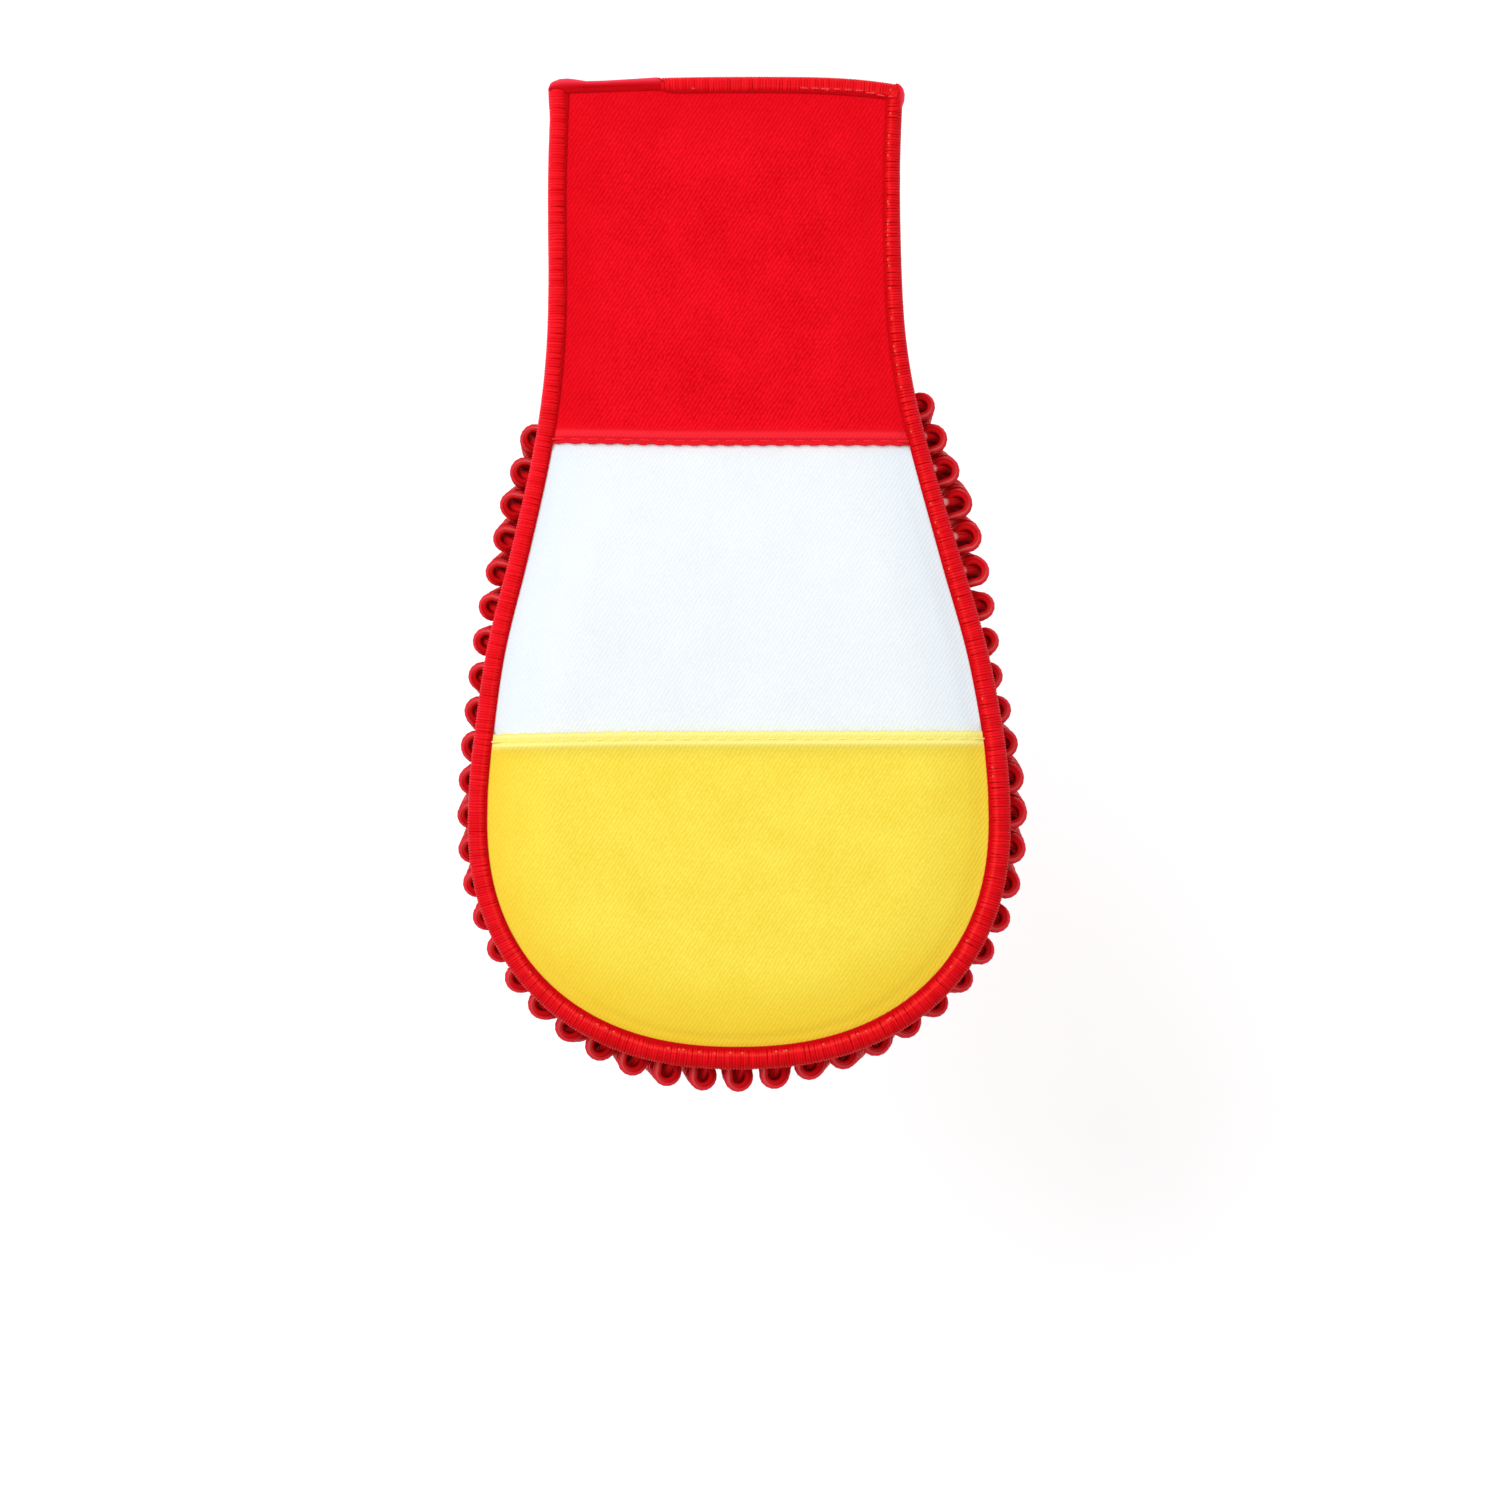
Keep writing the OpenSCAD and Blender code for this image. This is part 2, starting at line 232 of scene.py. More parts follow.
def smooth(rows, column, key):
    """Smooth curve through a column of a table whose keys run downwards."""
    i = 0
    while i < len(rows) - 2 and key < rows[i + 1][0]:
        i += 1

    def slope(j):
        a, b = rows[max(j - 1, 0)], rows[min(j + 1, len(rows) - 1)]
        return (b[column] - a[column]) / (b[0] - a[0])

    a, b = rows[i], rows[i + 1]
    step = b[0] - a[0]
    u = (key - a[0]) / step
    rise = 3 * u**2 - 2 * u**3
    bend = (u**3 - 2 * u**2 + u) * slope(i) + (u**3 - u**2) * slope(i + 1)
    return a[column] * (1 - rise) + b[column] * rise + bend * step


def between(rows, key, column=1):
    """Straight lines through a column of a table whose keys run upwards."""
    if key <= rows[0][0]:
        return rows[0][column]
    for a, b in zip(rows, rows[1:]):
        if key <= b[0]:
            return a[column] + (b[column] - a[column]) * (key - a[0]) / (b[0] - a[0])
    return rows[-1][column]


def oval_point(angle, inset=0):
    """Point of the oval end, from 0 degrees on the left to 180 on the right."""
    c, s = cos(radians(angle)), sin(radians(angle))
    return (OVAL_X - (OVAL_A - inset) * copysign(abs(c) ** (2 / OVAL_POWER), c),
            OVAL_Y - (OVAL_B - inset) * abs(s) ** (2 / OVAL_POWER))


def edge_x(side, y, inset=0):
    """Side edge of the plan at y, a distance inside the outer edge and square to it."""
    way = 1 if side == LEFT else -1
    if y < OVAL_Y:
        share = min((OVAL_Y - y) / (OVAL_B - inset), 1)
        return OVAL_X - way * (OVAL_A - inset) * (1 - share**OVAL_POWER) ** (1 / OVAL_POWER)
    lean = (smooth(SIDE_ROWS, side, y + 1) - smooth(SIDE_ROWS, side, y - 1)) / 2
    return smooth(SIDE_ROWS, side, y) + way * inset * hypot(1, lean)


def depth(x, y):
    """Distance of a point of the face inside the outer edge."""
    if y < OVAL_Y:
        share = (abs(x - OVAL_X) / OVAL_A) ** OVAL_POWER + ((OVAL_Y - y) / OVAL_B) ** OVAL_POWER
        return OVAL_A * (1 - share ** (1 / OVAL_POWER))
    return min(x - smooth(SIDE_ROWS, LEFT, y), smooth(SIDE_ROWS, RIGHT, y) - x, smooth(TOP_ROWS, 1, x) - y)


def flare(y):
    """How far the strap has widened to the oval: 0 on the strap, 1 on the oval."""
    return ease((FLARE_TOP - y) / (FLARE_TOP - FLARE_END))


def board_top(x, y):
    """Height of the board's crowned top, which rises fast after a soft start and rounds over."""
    t = (depth(x, y) - CROWN_FROM) / (CROWN_TO - CROWN_FROM)
    rise = sin(pi / 2 * min(max(t, 0), 1)) * ease(t * 5)
    return BOARD_THICK + (STRAP_CROWN + (OVAL_CROWN - STRAP_CROWN) * flare(y)) * rise


def padding(x, y):
    """Extra height of the soft wadding that rounds off the oval's crown beside the binding."""
    d = depth(x, y)
    return WADDING * flare(y) * ease((d - WADDING_FROM) / 1.2) * (1 - ease((d - WADDING_FULL) / 7))


felt, tree = finish_of("felt", roughness=0.95, specular=0.1)
fibres = grain(place_in(tree), 2600, 4, 0.7)
share = fibres * 0.7 + grain(place_in(tree), 90) * 0.3
coated(blended(share, (120, 10, 18), (182, 28, 36)), fibres, 0.6, 0.2)
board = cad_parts["board"]
board.data.materials.clear()
board.data.materials.append(felt)


# White cloth.
# The middle panel, a woollen twill a millimetre thick, stretched over the board and sewn down first.
# The other two panels lap over its ends, and the binding holds its sides.
PANEL_LOW, PANEL_HIGH = 0.15, 1.15
CLOTH_INSET = 1.25
RED_EDGE = [(-33, 23.4), (-10, 22.95), (33, 22.95)]  # x, y of the red hem's free edge
YELLOW_EDGE = [(-46, -29.6), (-20, -29.1), (46, -28.95)]  # x, y of the yellow hem's free edge
RED_LAP, YELLOW_LAP = 2.6, 2.9
TUCK_FROM, TUCK_TO = 3.5, 4.9
CLOTH_CELL = 1.0
PUCKER, RIM_PUCKER = 0.07, 0.06
RIB_PITCH, RIB_LEAN, RIB_THREAD = 0.67, 57, 1.1
# Painted shade on the cloth along the binding, wider and stronger towards the bottom of the oval
EDGE_SHADE, EDGE_REACH = 0.4, 13


def group_of(name, kind, inputs, outputs):
    """A node group with named sockets, each given with its value or its kind. Gives its tree, its inputs by name,
    and a function that feeds its outputs."""
    tree = bpy.data.node_groups.new(name, kind)
    for way, sockets in (("INPUT", inputs), ("OUTPUT", outputs)):
        for label, value in sockets.items():
            plain = not isinstance(value, str)
            socket = type(value).__name__.capitalize() if plain else value
            made = tree.interface.new_socket(label, in_out=way, socket_type="NodeSocket" + socket)
            if plain:
                made.default_value = value
    given, result = tree.nodes.new("NodeGroupInput"), tree.nodes.new("NodeGroupOutput")

    def feed(**values):
        for label, value in values.items():
            tree.links.new(value.socket, result.inputs[label])

    return tree, {label: Value(tree, given.outputs[label]) for label in inputs}, feed


def vectors(operation, *parts, out=0, **inputs):
    """The result of a Vector Math node."""
    inputs = {**dict(enumerate(parts)), **inputs}
    return node(parts[0].tree, "ShaderNodeVectorMath", inputs, out, operation=operation)


def scaled(vector, size):
    return vectors("SCALE", vector, Scale=size)


def split(vector):
    """The three parts of a vector."""
    x = node(vector.tree, "ShaderNodeSeparateXYZ", {0: vector}, "X")
    return x, x.other("Y"), x.other("Z")


def joined(tree, **parts):
    """A vector from those of its parts X, Y and Z that aren't 0."""
    return node(tree, "ShaderNodeCombineXYZ", parts)


def clamped(value):
    return node(value.tree, "ShaderNodeClamp", {0: value})


def ranged(value, low, high):
    """Goes smoothly from 0 to 1 as a value goes from low to high."""
    return node(value.tree, "ShaderNodeMapRange", {0: value, 1: low, 2: high}, interpolation_type="SMOOTHSTEP")


def attribute(tree, name, out="Fac"):
    return node(tree, "ShaderNodeAttribute", out=out, attribute_name=name)


def layered(tone, *layers):
    """A colour with others over it, each given with its share."""
    for share, over in layers:
        tone = blended(share, tone, over)
    return tone


# Twill: slanting ribs of short threads, uneven as worn wool is. The ribs' tops are painted lighter and the hollows
# between them darker, as painted shade, over the wool's own mottle
twill, given, feed = group_of("twill", "ShaderNodeTree", {
    "Vector": "Vector", "Rib pitch": RIB_PITCH, "Rib lean": radians(RIB_LEAN), "Thread length": RIB_THREAD,
    "Rib share": 0.5, "Mottle share": 0.5}, {"Height": "Float", "Shade": "Float"})
place = scaled(given["Vector"], 1 / MM)
x, y, _ = split(node(twill, "ShaderNodeVectorRotate", {"Vector": place, "Angle": given["Rib lean"] * -1},
                     rotation_type="Z_AXIS"))
across = y / given["Rib pitch"] + (grain(place, 0.55) - 0.5) * 1.1
rib = sums("COSINE", across * tau)
run = x / given["Thread length"] + sums("FLOOR", across + 0.5) * 0.37
bead = sums("COSINE", run * tau)
height = rib * 0.33 + sums("MAXIMUM", rib, 0) * bead * 0.17 + 0.5
mottle = (grain(place, 1.7, 3, 0.6) - 0.5) * 1.6 + (grain(place, 0.13) - 0.5) * 0.8
shade = (height - 0.5) * given["Rib share"] + mottle * given["Mottle share"]
feed(Height=height, Shade=clamped(shade + 0.5))


def cloth_finish(name, dark, light, strip, groove, edge, rib_share, mottle_share, relief):
    """Twill whose ribs and mottle run from a dark to a light tone, with a painted highlight on its hem's raised
    strips, painted shade in its stitched groove, and painted shade along the binding."""
    made, tree = finish_of(name, roughness=0.9, specular=0.04)
    shares = {"Rib share": rib_share, "Mottle share": mottle_share}
    ribs = node(tree, "ShaderNodeGroup", {"Vector": place_in(tree), **shares}, "Height", node_tree=twill)
    over = (("rim_shade", edge), ("strip", strip), ("groove", groove))
    tone = blended(ribs.other("Shade"), dark, light)
    coated(layered(tone, *((attribute(tree, part), shade) for part, shade in over)), ribs, 0.8, relief)
    return made


def give(mesh, name, values):
    """Stores a number, or a vector, for each vertex."""
    if isinstance(values[0], tuple):
        flat = [c for vector in values for c in vector]
        mesh.attributes.new(name, "FLOAT_VECTOR", "POINT").data.foreach_set("vector", flat)
    else:
        mesh.attributes.new(name, "FLOAT", "POINT").data.foreach_set("value", values)


def cloth(name, ys, hems, material):
    """A closed layer of cloth, with a vertex every millimetre; hems(x, y) gives its y, its underside and top above
    the board, and how much of the painted highlight on the hem's strip and of the painted shade in its groove shows
    there."""
    across = 2 * round(HALF_LENGTH / 2 / CLOTH_CELL) + 1
    points = []
    for y in ys:
        left, right = edge_x(LEFT, y, CLOTH_INSET), edge_x(RIGHT, y, CLOTH_INSET)
        for i in range(across):
            x = left + (right - left) * i / (across - 1)
            at = y + (smooth(TOP_ROWS, 1, x) - HALF_LENGTH) * ease((y - FLARE_TOP) / (HALF_LENGTH - FLARE_TOP))
            at, low, high, strip, groove = hems(x, at)
            d = depth(x, at)
            soft = PUCKER * noise.noise(Vector((x, at, 3)) * 0.11)
            soft += RIM_PUCKER * noise.noise(Vector((x, at, 9)) * 0.45) * (1 - ease((d - 4) / 7))
            soft *= ease((d - TUCK_FROM) / 2)
            base = board_top(x, at)
            # Painted shade along the binding, wider and stronger towards the bottom of the oval
            low_end = ease((-at - 58) / 30)
            rim_shade = EDGE_SHADE * (1 - ease((d - 3) / (EDGE_REACH * (1 + low_end)))) * (1 + 0.6 * low_end)
            top = (x, at, base + high + soft + padding(x, at))
            points.append((top, (x, at, base + low), strip, groove, rim_shade))
    n = len(points)
    tops, unders, *shades = zip(*points)
    rim = [*range(across), *range(2 * across - 1, n, across), *range(n - 2, n - across - 1, -1),
           *range(n - 2 * across, 0, -across)]
    faces = []
    for k in range(len(ys) - 1):
        for i in range(across - 1):
            a = k * across + i
            faces.append((a, a + across, a + across + 1, a + 1))
            faces.append((n + a, n + a + 1, n + a + across + 1, n + a + across))
    for a, b in zip(rim, rim[1:] + rim[:1]):
        faces.append((a, b, n + b, n + a))
    mesh = shape(name, tops + unders, faces)
    for label, values in zip(("strip", "groove", "rim_shade"), shades):
        give(mesh, label, values + (0,) * n)
    return shown(name, mesh, material)


def steps(start, end, size):
    """Even steps from start to end, both included, about a size apart."""
    count = max(round(abs(end - start) / size), 1)
    return [start + (end - start) * i / count for i in range(count + 1)]


def squeeze(x, y):
    """How far a hem is from being pressed flat by the binding: 0 under it, 1 in the open."""
    return ease((depth(x, y) - TUCK_FROM) / (TUCK_TO - TUCK_FROM))


def white_hems(x, y):
    past = max(y - between(RED_EDGE, x), between(YELLOW_EDGE, x) - y)
    pressed = (1 - squeeze(x, y)) * ease((past + 1.5) / 1.5)
    return y, PANEL_LOW, PANEL_HIGH - 0.5 * pressed, 0, 0


# The edge colour is painted shade along the binding
white_twill = cloth_finish(
    "white_twill", dark=(231, 238, 244), light=(250, 254, 255), strip=(250, 254, 255), groove=(232, 238, 244),
    edge=(222, 240, 250), rib_share=0.32, mottle_share=0.55, relief=0.05)
white_rows = steps(RED_EDGE[0][1] + RED_LAP, YELLOW_EDGE[0][1] - YELLOW_LAP, CLOTH_CELL)
white_cloth = cloth("white_cloth", white_rows, white_hems, white_twill)
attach(white_cloth, "root")
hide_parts("white_panel")


# Red cloth.
# The strap's panel of scarlet twill. Its lower edge is turned under and laps over the white cloth,
# and a row of stitches pulls a groove into the hem and small scallops into its edge.
HEM_LOW, HEM_PRESSED, HEM_CELL = 1.3, 0.72, 0.2
SCALLOP, SCALLOP_PITCH, SCALLOP_REACH = 0.13, 3.1, 1.2
RED_HEM = [  # distance from the free edge, top above the board, painted highlight on the strip, painted shade in the groove
    (0, 1.7, 0.5, 0), (0.12, 1.95, 0.7, 0), (0.3, 2.05, 0.6, 0), (0.5, 1.97, 0.1, 0.8), (0.8, 1.9, 0, 1),
    (1.1, 2.0, 0.2, 0.7), (1.4, 2.15, 0.9, 0), (1.9, 2.22, 1, 0), (2.35, 2.15, 0.8, 0), (2.65, 1.98, 0.1, 0.5),
    (3.0, 1.75, 0, 0.2), (3.6, 1.42, 0, 0), (4.3, 1.2, 0, 0), (5, 1.15, 0, 0)]


def hem(rows, edge, way, settle):
    """The hem along a panel's free edge. The cloth lies towards +Y of it if way is 1, and its rows of vertices
    follow the edge's slant until they settle."""
    def heights(x, y):
        line = between(edge, x)
        y += (line - edge[1][1]) * (1 - ease((y - edge[1][1]) * way / settle))
        inside = (y - line) * way
        if inside < SCALLOP_REACH:
            y += way * SCALLOP * (1 - inside / SCALLOP_REACH) * cos(tau * x / SCALLOP_PITCH)
        out = squeeze(x, y)
        lap = between(rows, inside)
        low = HEM_LOW - (HEM_LOW - PANEL_LOW) * ease((inside - 2.9) / 1.3)
        flat_high = 1.2 if lap > PANEL_HIGH + 0.01 else PANEL_HIGH
        flat_low = min(low, HEM_PRESSED)
        return (y, flat_low + (low - flat_low) * out, flat_high + (lap - flat_high) * out,
                between(rows, inside, 2), between(rows, inside, 3))
    return heights


def hem_steps(edge, way):
    """Rows of cloth across a hem, finer than elsewhere, from its free edge."""
    return [edge + way * e for e in steps(0, 3.2, HEM_CELL) + [3.6, 4.3, 5]]


# The scarlet hem's raised strip takes a painted highlight and its stitched groove painted shade; the edge colour is
# painted shade
scarlet_twill = cloth_finish(
    "scarlet_twill", dark=(208, 2, 14), light=(255, 18, 38), strip=(248, 42, 56), groove=(232, 26, 40),
    edge=(226, 8, 22), rib_share=0.8, mottle_share=0.75, relief=0.11)
red_rows = hem_steps(RED_EDGE[1][1], 1)
red_rows += steps(red_rows[-1], HALF_LENGTH - CLOTH_INSET, CLOTH_CELL)[1:]
red_cloth = cloth("red_cloth", red_rows, hem(RED_HEM, RED_EDGE, 1, 12), scarlet_twill)
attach(red_cloth, "root")
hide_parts("red_panel")


# Yellow cloth.
# The panel of the oval end, in golden yellow twill, with a turned hem that laps over the white cloth.
# Its row of stitches runs in a groove between two raised strips.
YELLOW_HEM = [  # the same columns
    (0, 1.7, 0.4, 0), (0.12, 1.95, 0.8, 0), (0.4, 2.1, 1, 0), (0.75, 2.07, 0.9, 0), (1.0, 2.02, 0.6, 0.4),
    (1.35, 1.99, 0.4, 0.6), (1.65, 2.02, 0.6, 0.4), (1.9, 2.08, 0.9, 0), (2.15, 2.1, 1, 0), (2.4, 2.0, 0.5, 0.1),
    (2.7, 1.85, 0.1, 0.3), (3.1, 1.62, 0, 0.1), (3.7, 1.4, 0, 0), (4.4, 1.2, 0, 0), (5.1, 1.15, 0, 0)]
# The golden hem likewise: painted highlight on its strips, painted shade in its groove and along the binding
golden_twill = cloth_finish(
    "golden_twill", dark=(245, 209, 54), light=(255, 240, 96), strip=(255, 246, 146), groove=(254, 238, 122),
    edge=(246, 200, 36), rib_share=0.42, mottle_share=0.6, relief=0.07)
yellow_rows = hem_steps(YELLOW_EDGE[1][1], -1)
yellow_rows += steps(yellow_rows[-1], OVAL_Y, CLOTH_CELL)[1:]
yellow_rows += [oval_point(a, CLOTH_INSET)[1] for a in steps(0, 86, 1.6)[1:]]
yellow_cloth = cloth("yellow_cloth", yellow_rows[::-1], hem(YELLOW_HEM, YELLOW_EDGE, -1, 10), golden_twill)
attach(yellow_cloth, "root")
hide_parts("yellow_panel")


# Hem stitches.
# One row of running stitch through each hem, in thread of the cloth's own colour,
# lying in the groove that it pulls into the cloth.
STITCH_LENGTH, STITCH_THREAD, STITCH_UP = 2.4, 0.17, 0.03


def spaced(route, pitch):
    """Points along a route of edges, a pitch apart."""
    curve = node(route.tree, "GeometryNodeMeshToCurve", {0: route})
    return node(route.tree, "GeometryNodeResampleCurve", {"Curve": curve, "Length": pitch}, mode="LENGTH")


def circle_of(radius, sides):
    return node(sides.tree, "GeometryNodeCurvePrimitiveCircle", {"Resolution": sides, "Radius": radius})


def spun(route, profile, size=1.0):
    """A thread along a route, closed at its ends."""
    return node(route.tree, "GeometryNodeCurveToMesh",
                {"Curve": route, "Profile Curve": profile, "Scale": size, "Fill Caps": True})


def random_of(seed, low, high):
    """A random number for each copy."""
    return node(seed.tree, "FunctionNodeRandomValue", {"Seed": seed, 2: low, 3: high}, 1, data_type="FLOAT")


def laid(points, thread, way, wobble, seed, size=(1, 1, 1)):
    """Copies of a thread at points, each along a way, give or take a wobble."""
    tree = points.tree
    facing = node(tree, "FunctionNodeAxesToRotation", {0: way, 1: (0, 0, 1)}, primary_axis="X", secondary_axis="Z")
    swayed = node(tree, "FunctionNodeEulerToRotation", {0: joined(tree, Z=random_of(seed, wobble * -1, wobble))})
    facing = node(tree, "FunctionNodeRotateRotation", {0: facing, 1: swayed}, rotation_space="LOCAL")
    return node(tree, "GeometryNodeInstanceOnPoints",
                {"Points": points, "Instance": thread, "Rotation": facing, "Scale": size})


def finished(geometry, material):
    """Plain geometry in its material."""
    whole = node(geometry.tree, "GeometryNodeRealizeInstances", {0: geometry})
    return node(geometry.tree, "GeometryNodeSetMaterial", {0: whole, "Material": material})


running, given, feed = group_of("running_stitch", "GeometryNodeTree", {
    "Geometry": "Geometry", "Pitch": SCALLOP_PITCH * MM, "Stitch length": STITCH_LENGTH * MM,
    "Thread radius": STITCH_THREAD * MM, "Sides": 7, "Wobble": 0.06, "Seed": 4, "Material": "Material"},
    {"Geometry": "Geometry"})
places = spaced(given["Geometry"], given["Pitch"])
half = given["Stitch length"] * 0.5
thread = node(running, "GeometryNodeCurvePrimitiveLine", {
    "Start": joined(running, X=half * -1), "End": joined(running, X=half)})
thread = node(running, "GeometryNodeResampleCurve", {"Curve": thread, "Count": 9}, mode="COUNT")
end_share = abs(node(running, "GeometryNodeSplineParameter", out="Factor") - 0.5) * 2
sunk = joined(running, Z=end_share**3 * (given["Thread radius"] * -2.2))
thread = node(running, "GeometryNodeSetPosition", {"Geometry": thread, "Offset": sunk})
stitch = spun(thread, circle_of(given["Thread radius"], given["Sides"]))
copies = laid(places, stitch, node(running, "GeometryNodeInputTangent"), given["Wobble"], given["Seed"])
feed(Geometry=finished(copies, given["Material"]))


def grown(name, source, tree, values):
    """The plain mesh piece that a Geometry Nodes tree grows on a mesh."""
    holder = placed(name + "_guide", source)
    modifier = holder.modifiers.new("grow", "NODES")
    modifier.node_group = tree
    for item in tree.interface.items_tree:
        if item.in_out == "INPUT" and item.name in values:
            modifier[item.identifier] = values[item.name]
    view = bpy.context.evaluated_depsgraph_get()
    mesh = bpy.data.meshes.new_from_object(holder.evaluated_get(view), depsgraph=view)
    holder.modifiers.clear()
    bpy.data.objects.remove(holder)
    mesh.name = name
    return shown(name, mesh)


def line_of(name, points):
    """A mesh of edges only, through points in millimetres."""
    return shape(name, points, [], [(i, i + 1) for i in range(len(points) - 1)])


def thread_finish(name, *tone):
    made, tree = finish_of(name, roughness=0.7, specular=0.05)
    ply = grain(place_in(tree), 3000)
    light = colour(*tone)
    dark = tuple(c * 0.88 for c in light[:3]) + (1,)
    coated(node(tree, "ShaderNodeMix", {0: ply, 6: dark, 7: light}, 2, data_type="RGBA"), ply, 0.5, 0.05)
    return made


for cloth_name, edge, rows, way, into, thread_material in (
        ("red", RED_EDGE, RED_HEM, 1, 0.8, thread_finish("red_sewing_thread", 246, 48, 60)),
        ("yellow", YELLOW_EDGE, YELLOW_HEM, -1, 1.35, thread_finish("yellow_sewing_thread", 255, 248, 150))):
    name = cloth_name + "_hem_stitches"
    points = []
    y = edge[1][1] + way * into
    for x in steps(edge_x(LEFT, y, 4.4), edge_x(RIGHT, y, 4.4), 1.5):
        y = between(edge, x) + way * into
        points.append((x, y, board_top(x, y) + padding(x, y) + between(rows, into) + STITCH_UP))
    stitches = grown(name, line_of(name, points), running, {"Material": thread_material})
    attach(stitches, "root")


# Binding tape.
# A folded red tape that wraps the rim all round, from the face over the edge to the underside.
# It lies under the satin stitches, and only its inner edge shows beside the cloth, dark partly from the tape's
# own deep red and partly as painted shade along the seam.
TAPE_ROWS = [  # distance inside the outer edge, height
    (3.38, 2.24), (3.36, 2.4), (3.0, 2.44), (2.5, 2.62), (1.85, 2.72), (1.15, 2.52), (0.62, 1.95), (0.45, 1.08),
    (0.62, 0.15), (1.15, -0.38), (2.1, -0.54), (3.1, -0.48), (3.4, -0.1), (1.22, -0.1), (1.22, 2.24)]
TAPE_TURN, TAPE_CORE = 1.3, 1.1
PLAIN_WIDTH = 3.4
WIDTH_ROWS = [  # run along the rim, from the left corner down and round; width on the face; satin's inset
    (0, 3.45, 0.3), (60, 3.45, 0.3), (90, 3.5, 0.25), (130, 3.55, 0.2), (160, 3.65, 0.1), (190, 3.6, -0.35),
    (260, 3.75, -0.3), (300, 3.6, -0.15), (330, 3.6, 0), (350, 3.4, 0.25), (400, 3.25, 0.3), (418, 3.1, 0.3),
    (430, 2.95, 0), (445, 2.8, 0), (463, 2.75, 0), (465.5, 2.05, 0), (480, 2.05, 0)]
LEFT_CORNER, RIGHT_CORNER = (-33.9, 88), (30.4, 88.7)
CORNER_R, RIGHT_CORNER_R = 1.6, 1.1


def rim_route():
    """Points round the outer edge, about a millimetre apart, from the left corner down and back along the top."""
    lx, ly = edge_x(LEFT, HALF_LENGTH), smooth(TOP_ROWS, 1, -33.9)
    rx, ry = edge_x(RIGHT, 88), smooth(TOP_ROWS, 1, 30.2)
    l, r = CORNER_R, RIGHT_CORNER_R
    turns = [(1 - sin(a), 1 - cos(a)) for a in steps(0, pi / 2, 0.26)]
    points = [(edge_x(LEFT, y), y) for y in steps(ly - l, OVAL_Y, 1)]
    points += [oval_point(a) for a in steps(0, 180, 0.9)[1:]]
    points += [(edge_x(RIGHT, y), y) for y in steps(OVAL_Y, ry - r, 1)[1:]]
    points += [(rx - r * c, ry - r * s) for s, c in turns[1:]]
    points += [(x, smooth(TOP_ROWS, 1, x)) for x in steps(rx - r, lx + l, 1)[1:]]
    points += [(lx + l * s, ly - l * c) for s, c in turns[1:-1]]
    return points


rim = rim_route()
outs, runs = [], [0]
for before, after in zip(rim[-1:] + rim, rim[1:] + rim[:1]):
    dx, dy = after[0] - before[0], after[1] - before[1]
    outs.append((dy / hypot(dx, dy), -dx / hypot(dx, dy), 0))
for a, b in zip(rim, rim[1:]):
    runs.append(runs[-1] + dist(a, b))
tape_points, tape_faces = [], []
for (x, y), out, run in zip(rim, outs, runs):
    wide = between(WIDTH_ROWS, run) / PLAIN_WIDTH
    spread = (PLAIN_WIDTH * wide - TAPE_CORE) / (PLAIN_WIDTH - TAPE_CORE)
    for inset, z in TAPE_ROWS:
        reach = inset if inset < TAPE_TURN else TAPE_TURN + (inset - TAPE_TURN) * spread
        tape_points.append((x - out[0] * reach, y - out[1] * reach, z))
sides = len(TAPE_ROWS)
for k in range(len(rim)):
    for i in range(sides):
        a, b, j = k * sides, (k + 1) % len(rim) * sides, (i + 1) % sides
        tape_faces.append((a + i, a + j, b + j, b + i))
# Deep red, partly the tape's own colour and partly painted shade along the seam
tape_with_painted_shade, tree = finish_of("tape_with_painted_shade", roughness=0.85, specular=0.04)
weave = grain(place_in(tree), 1500)
coated(blended(weave, (182, 3, 10), (214, 10, 20)), weave, 0.5, 0.1)
binding_tape = shown("binding_tape", shape("binding_tape", tape_points, tape_faces), tape_with_painted_shade)
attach(binding_tape, "root")
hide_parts("binding")


# Satin stitches of the binding.
# Overcast stitches of glossy red rayon, laid close round the whole rim, each from the face over the edge to the
# underside. They lie a little unevenly. The lines between them are painted shade, stronger round the oval, with pale
# specks.
THREAD_PITCH, THREAD_RADIUS = 0.5, 0.33
SECTION_WIDE, SECTION_HIGH, SECTION_MIDDLE = 1.53, 1.66, 1.16
THREAD_FROM, THREAD_SWEEP = -140, 286
THREAD_END = 0.45
ROLL_END = -13.9
CORNER_SWELL, CORNER_SPREAD = 0.12, 3.0
WAVE, RIPPLE = 0.07, 0.05
PLAIN_INSET, CORNER_INSET = 0.3, -0.15
CONTRAST_ROWS = [  # run along the rim, strength of the painted shade between threads, share with a speck, painted sheen on the outer side (painted shade there at 0)
    (0, 0.1, 0, 1), (70, 0.12, 0, 0.9), (110, 0.15, 0, 0.7), (150, 0.25, 0.02, 0.4), (185, 0.5, 0.12, 0),
    (235, 0.55, 0.14, 0), (270, 0.55, 0.05, 0.15), (300, 0.6, 0.05, 0.5), (330, 0.65, 0.08, 0.6),
    (365, 0.7, 0.12, 0.6), (400, 0.75, 0.09, 0.5), (430, 0.5, 0.06, 0.6), (450, 0.3, 0.04, 0.8), (470, 0.1, 0.01, 1)]
CROWN_AT, SPECK_AT, FOOT_FROM, FOOT_TO = 0.855, 0.885, 0.89, 0.94  # shares of a thread, from the underside up: its painted highlight, its pale specks, and its dark inner end, partly painted shade along the seam and partly darker thread


def stored(geometry, name, value, kind="FLOAT", domain="POINT"):
    """Geometry that keeps a value for each of its points, or for each copy."""
    return node(geometry.tree, "GeometryNodeStoreNamedAttribute",
                {"Geometry": geometry, "Name": name, "Value": value}, data_type=kind, domain=domain)


def kept(tree, name, kind="FLOAT"):
    """A value that the geometry keeps."""
    return node(tree, "GeometryNodeInputNamedAttribute", {"Name": name}, data_type=kind)


def position_in(tree):
    return node(tree, "GeometryNodeInputPosition")


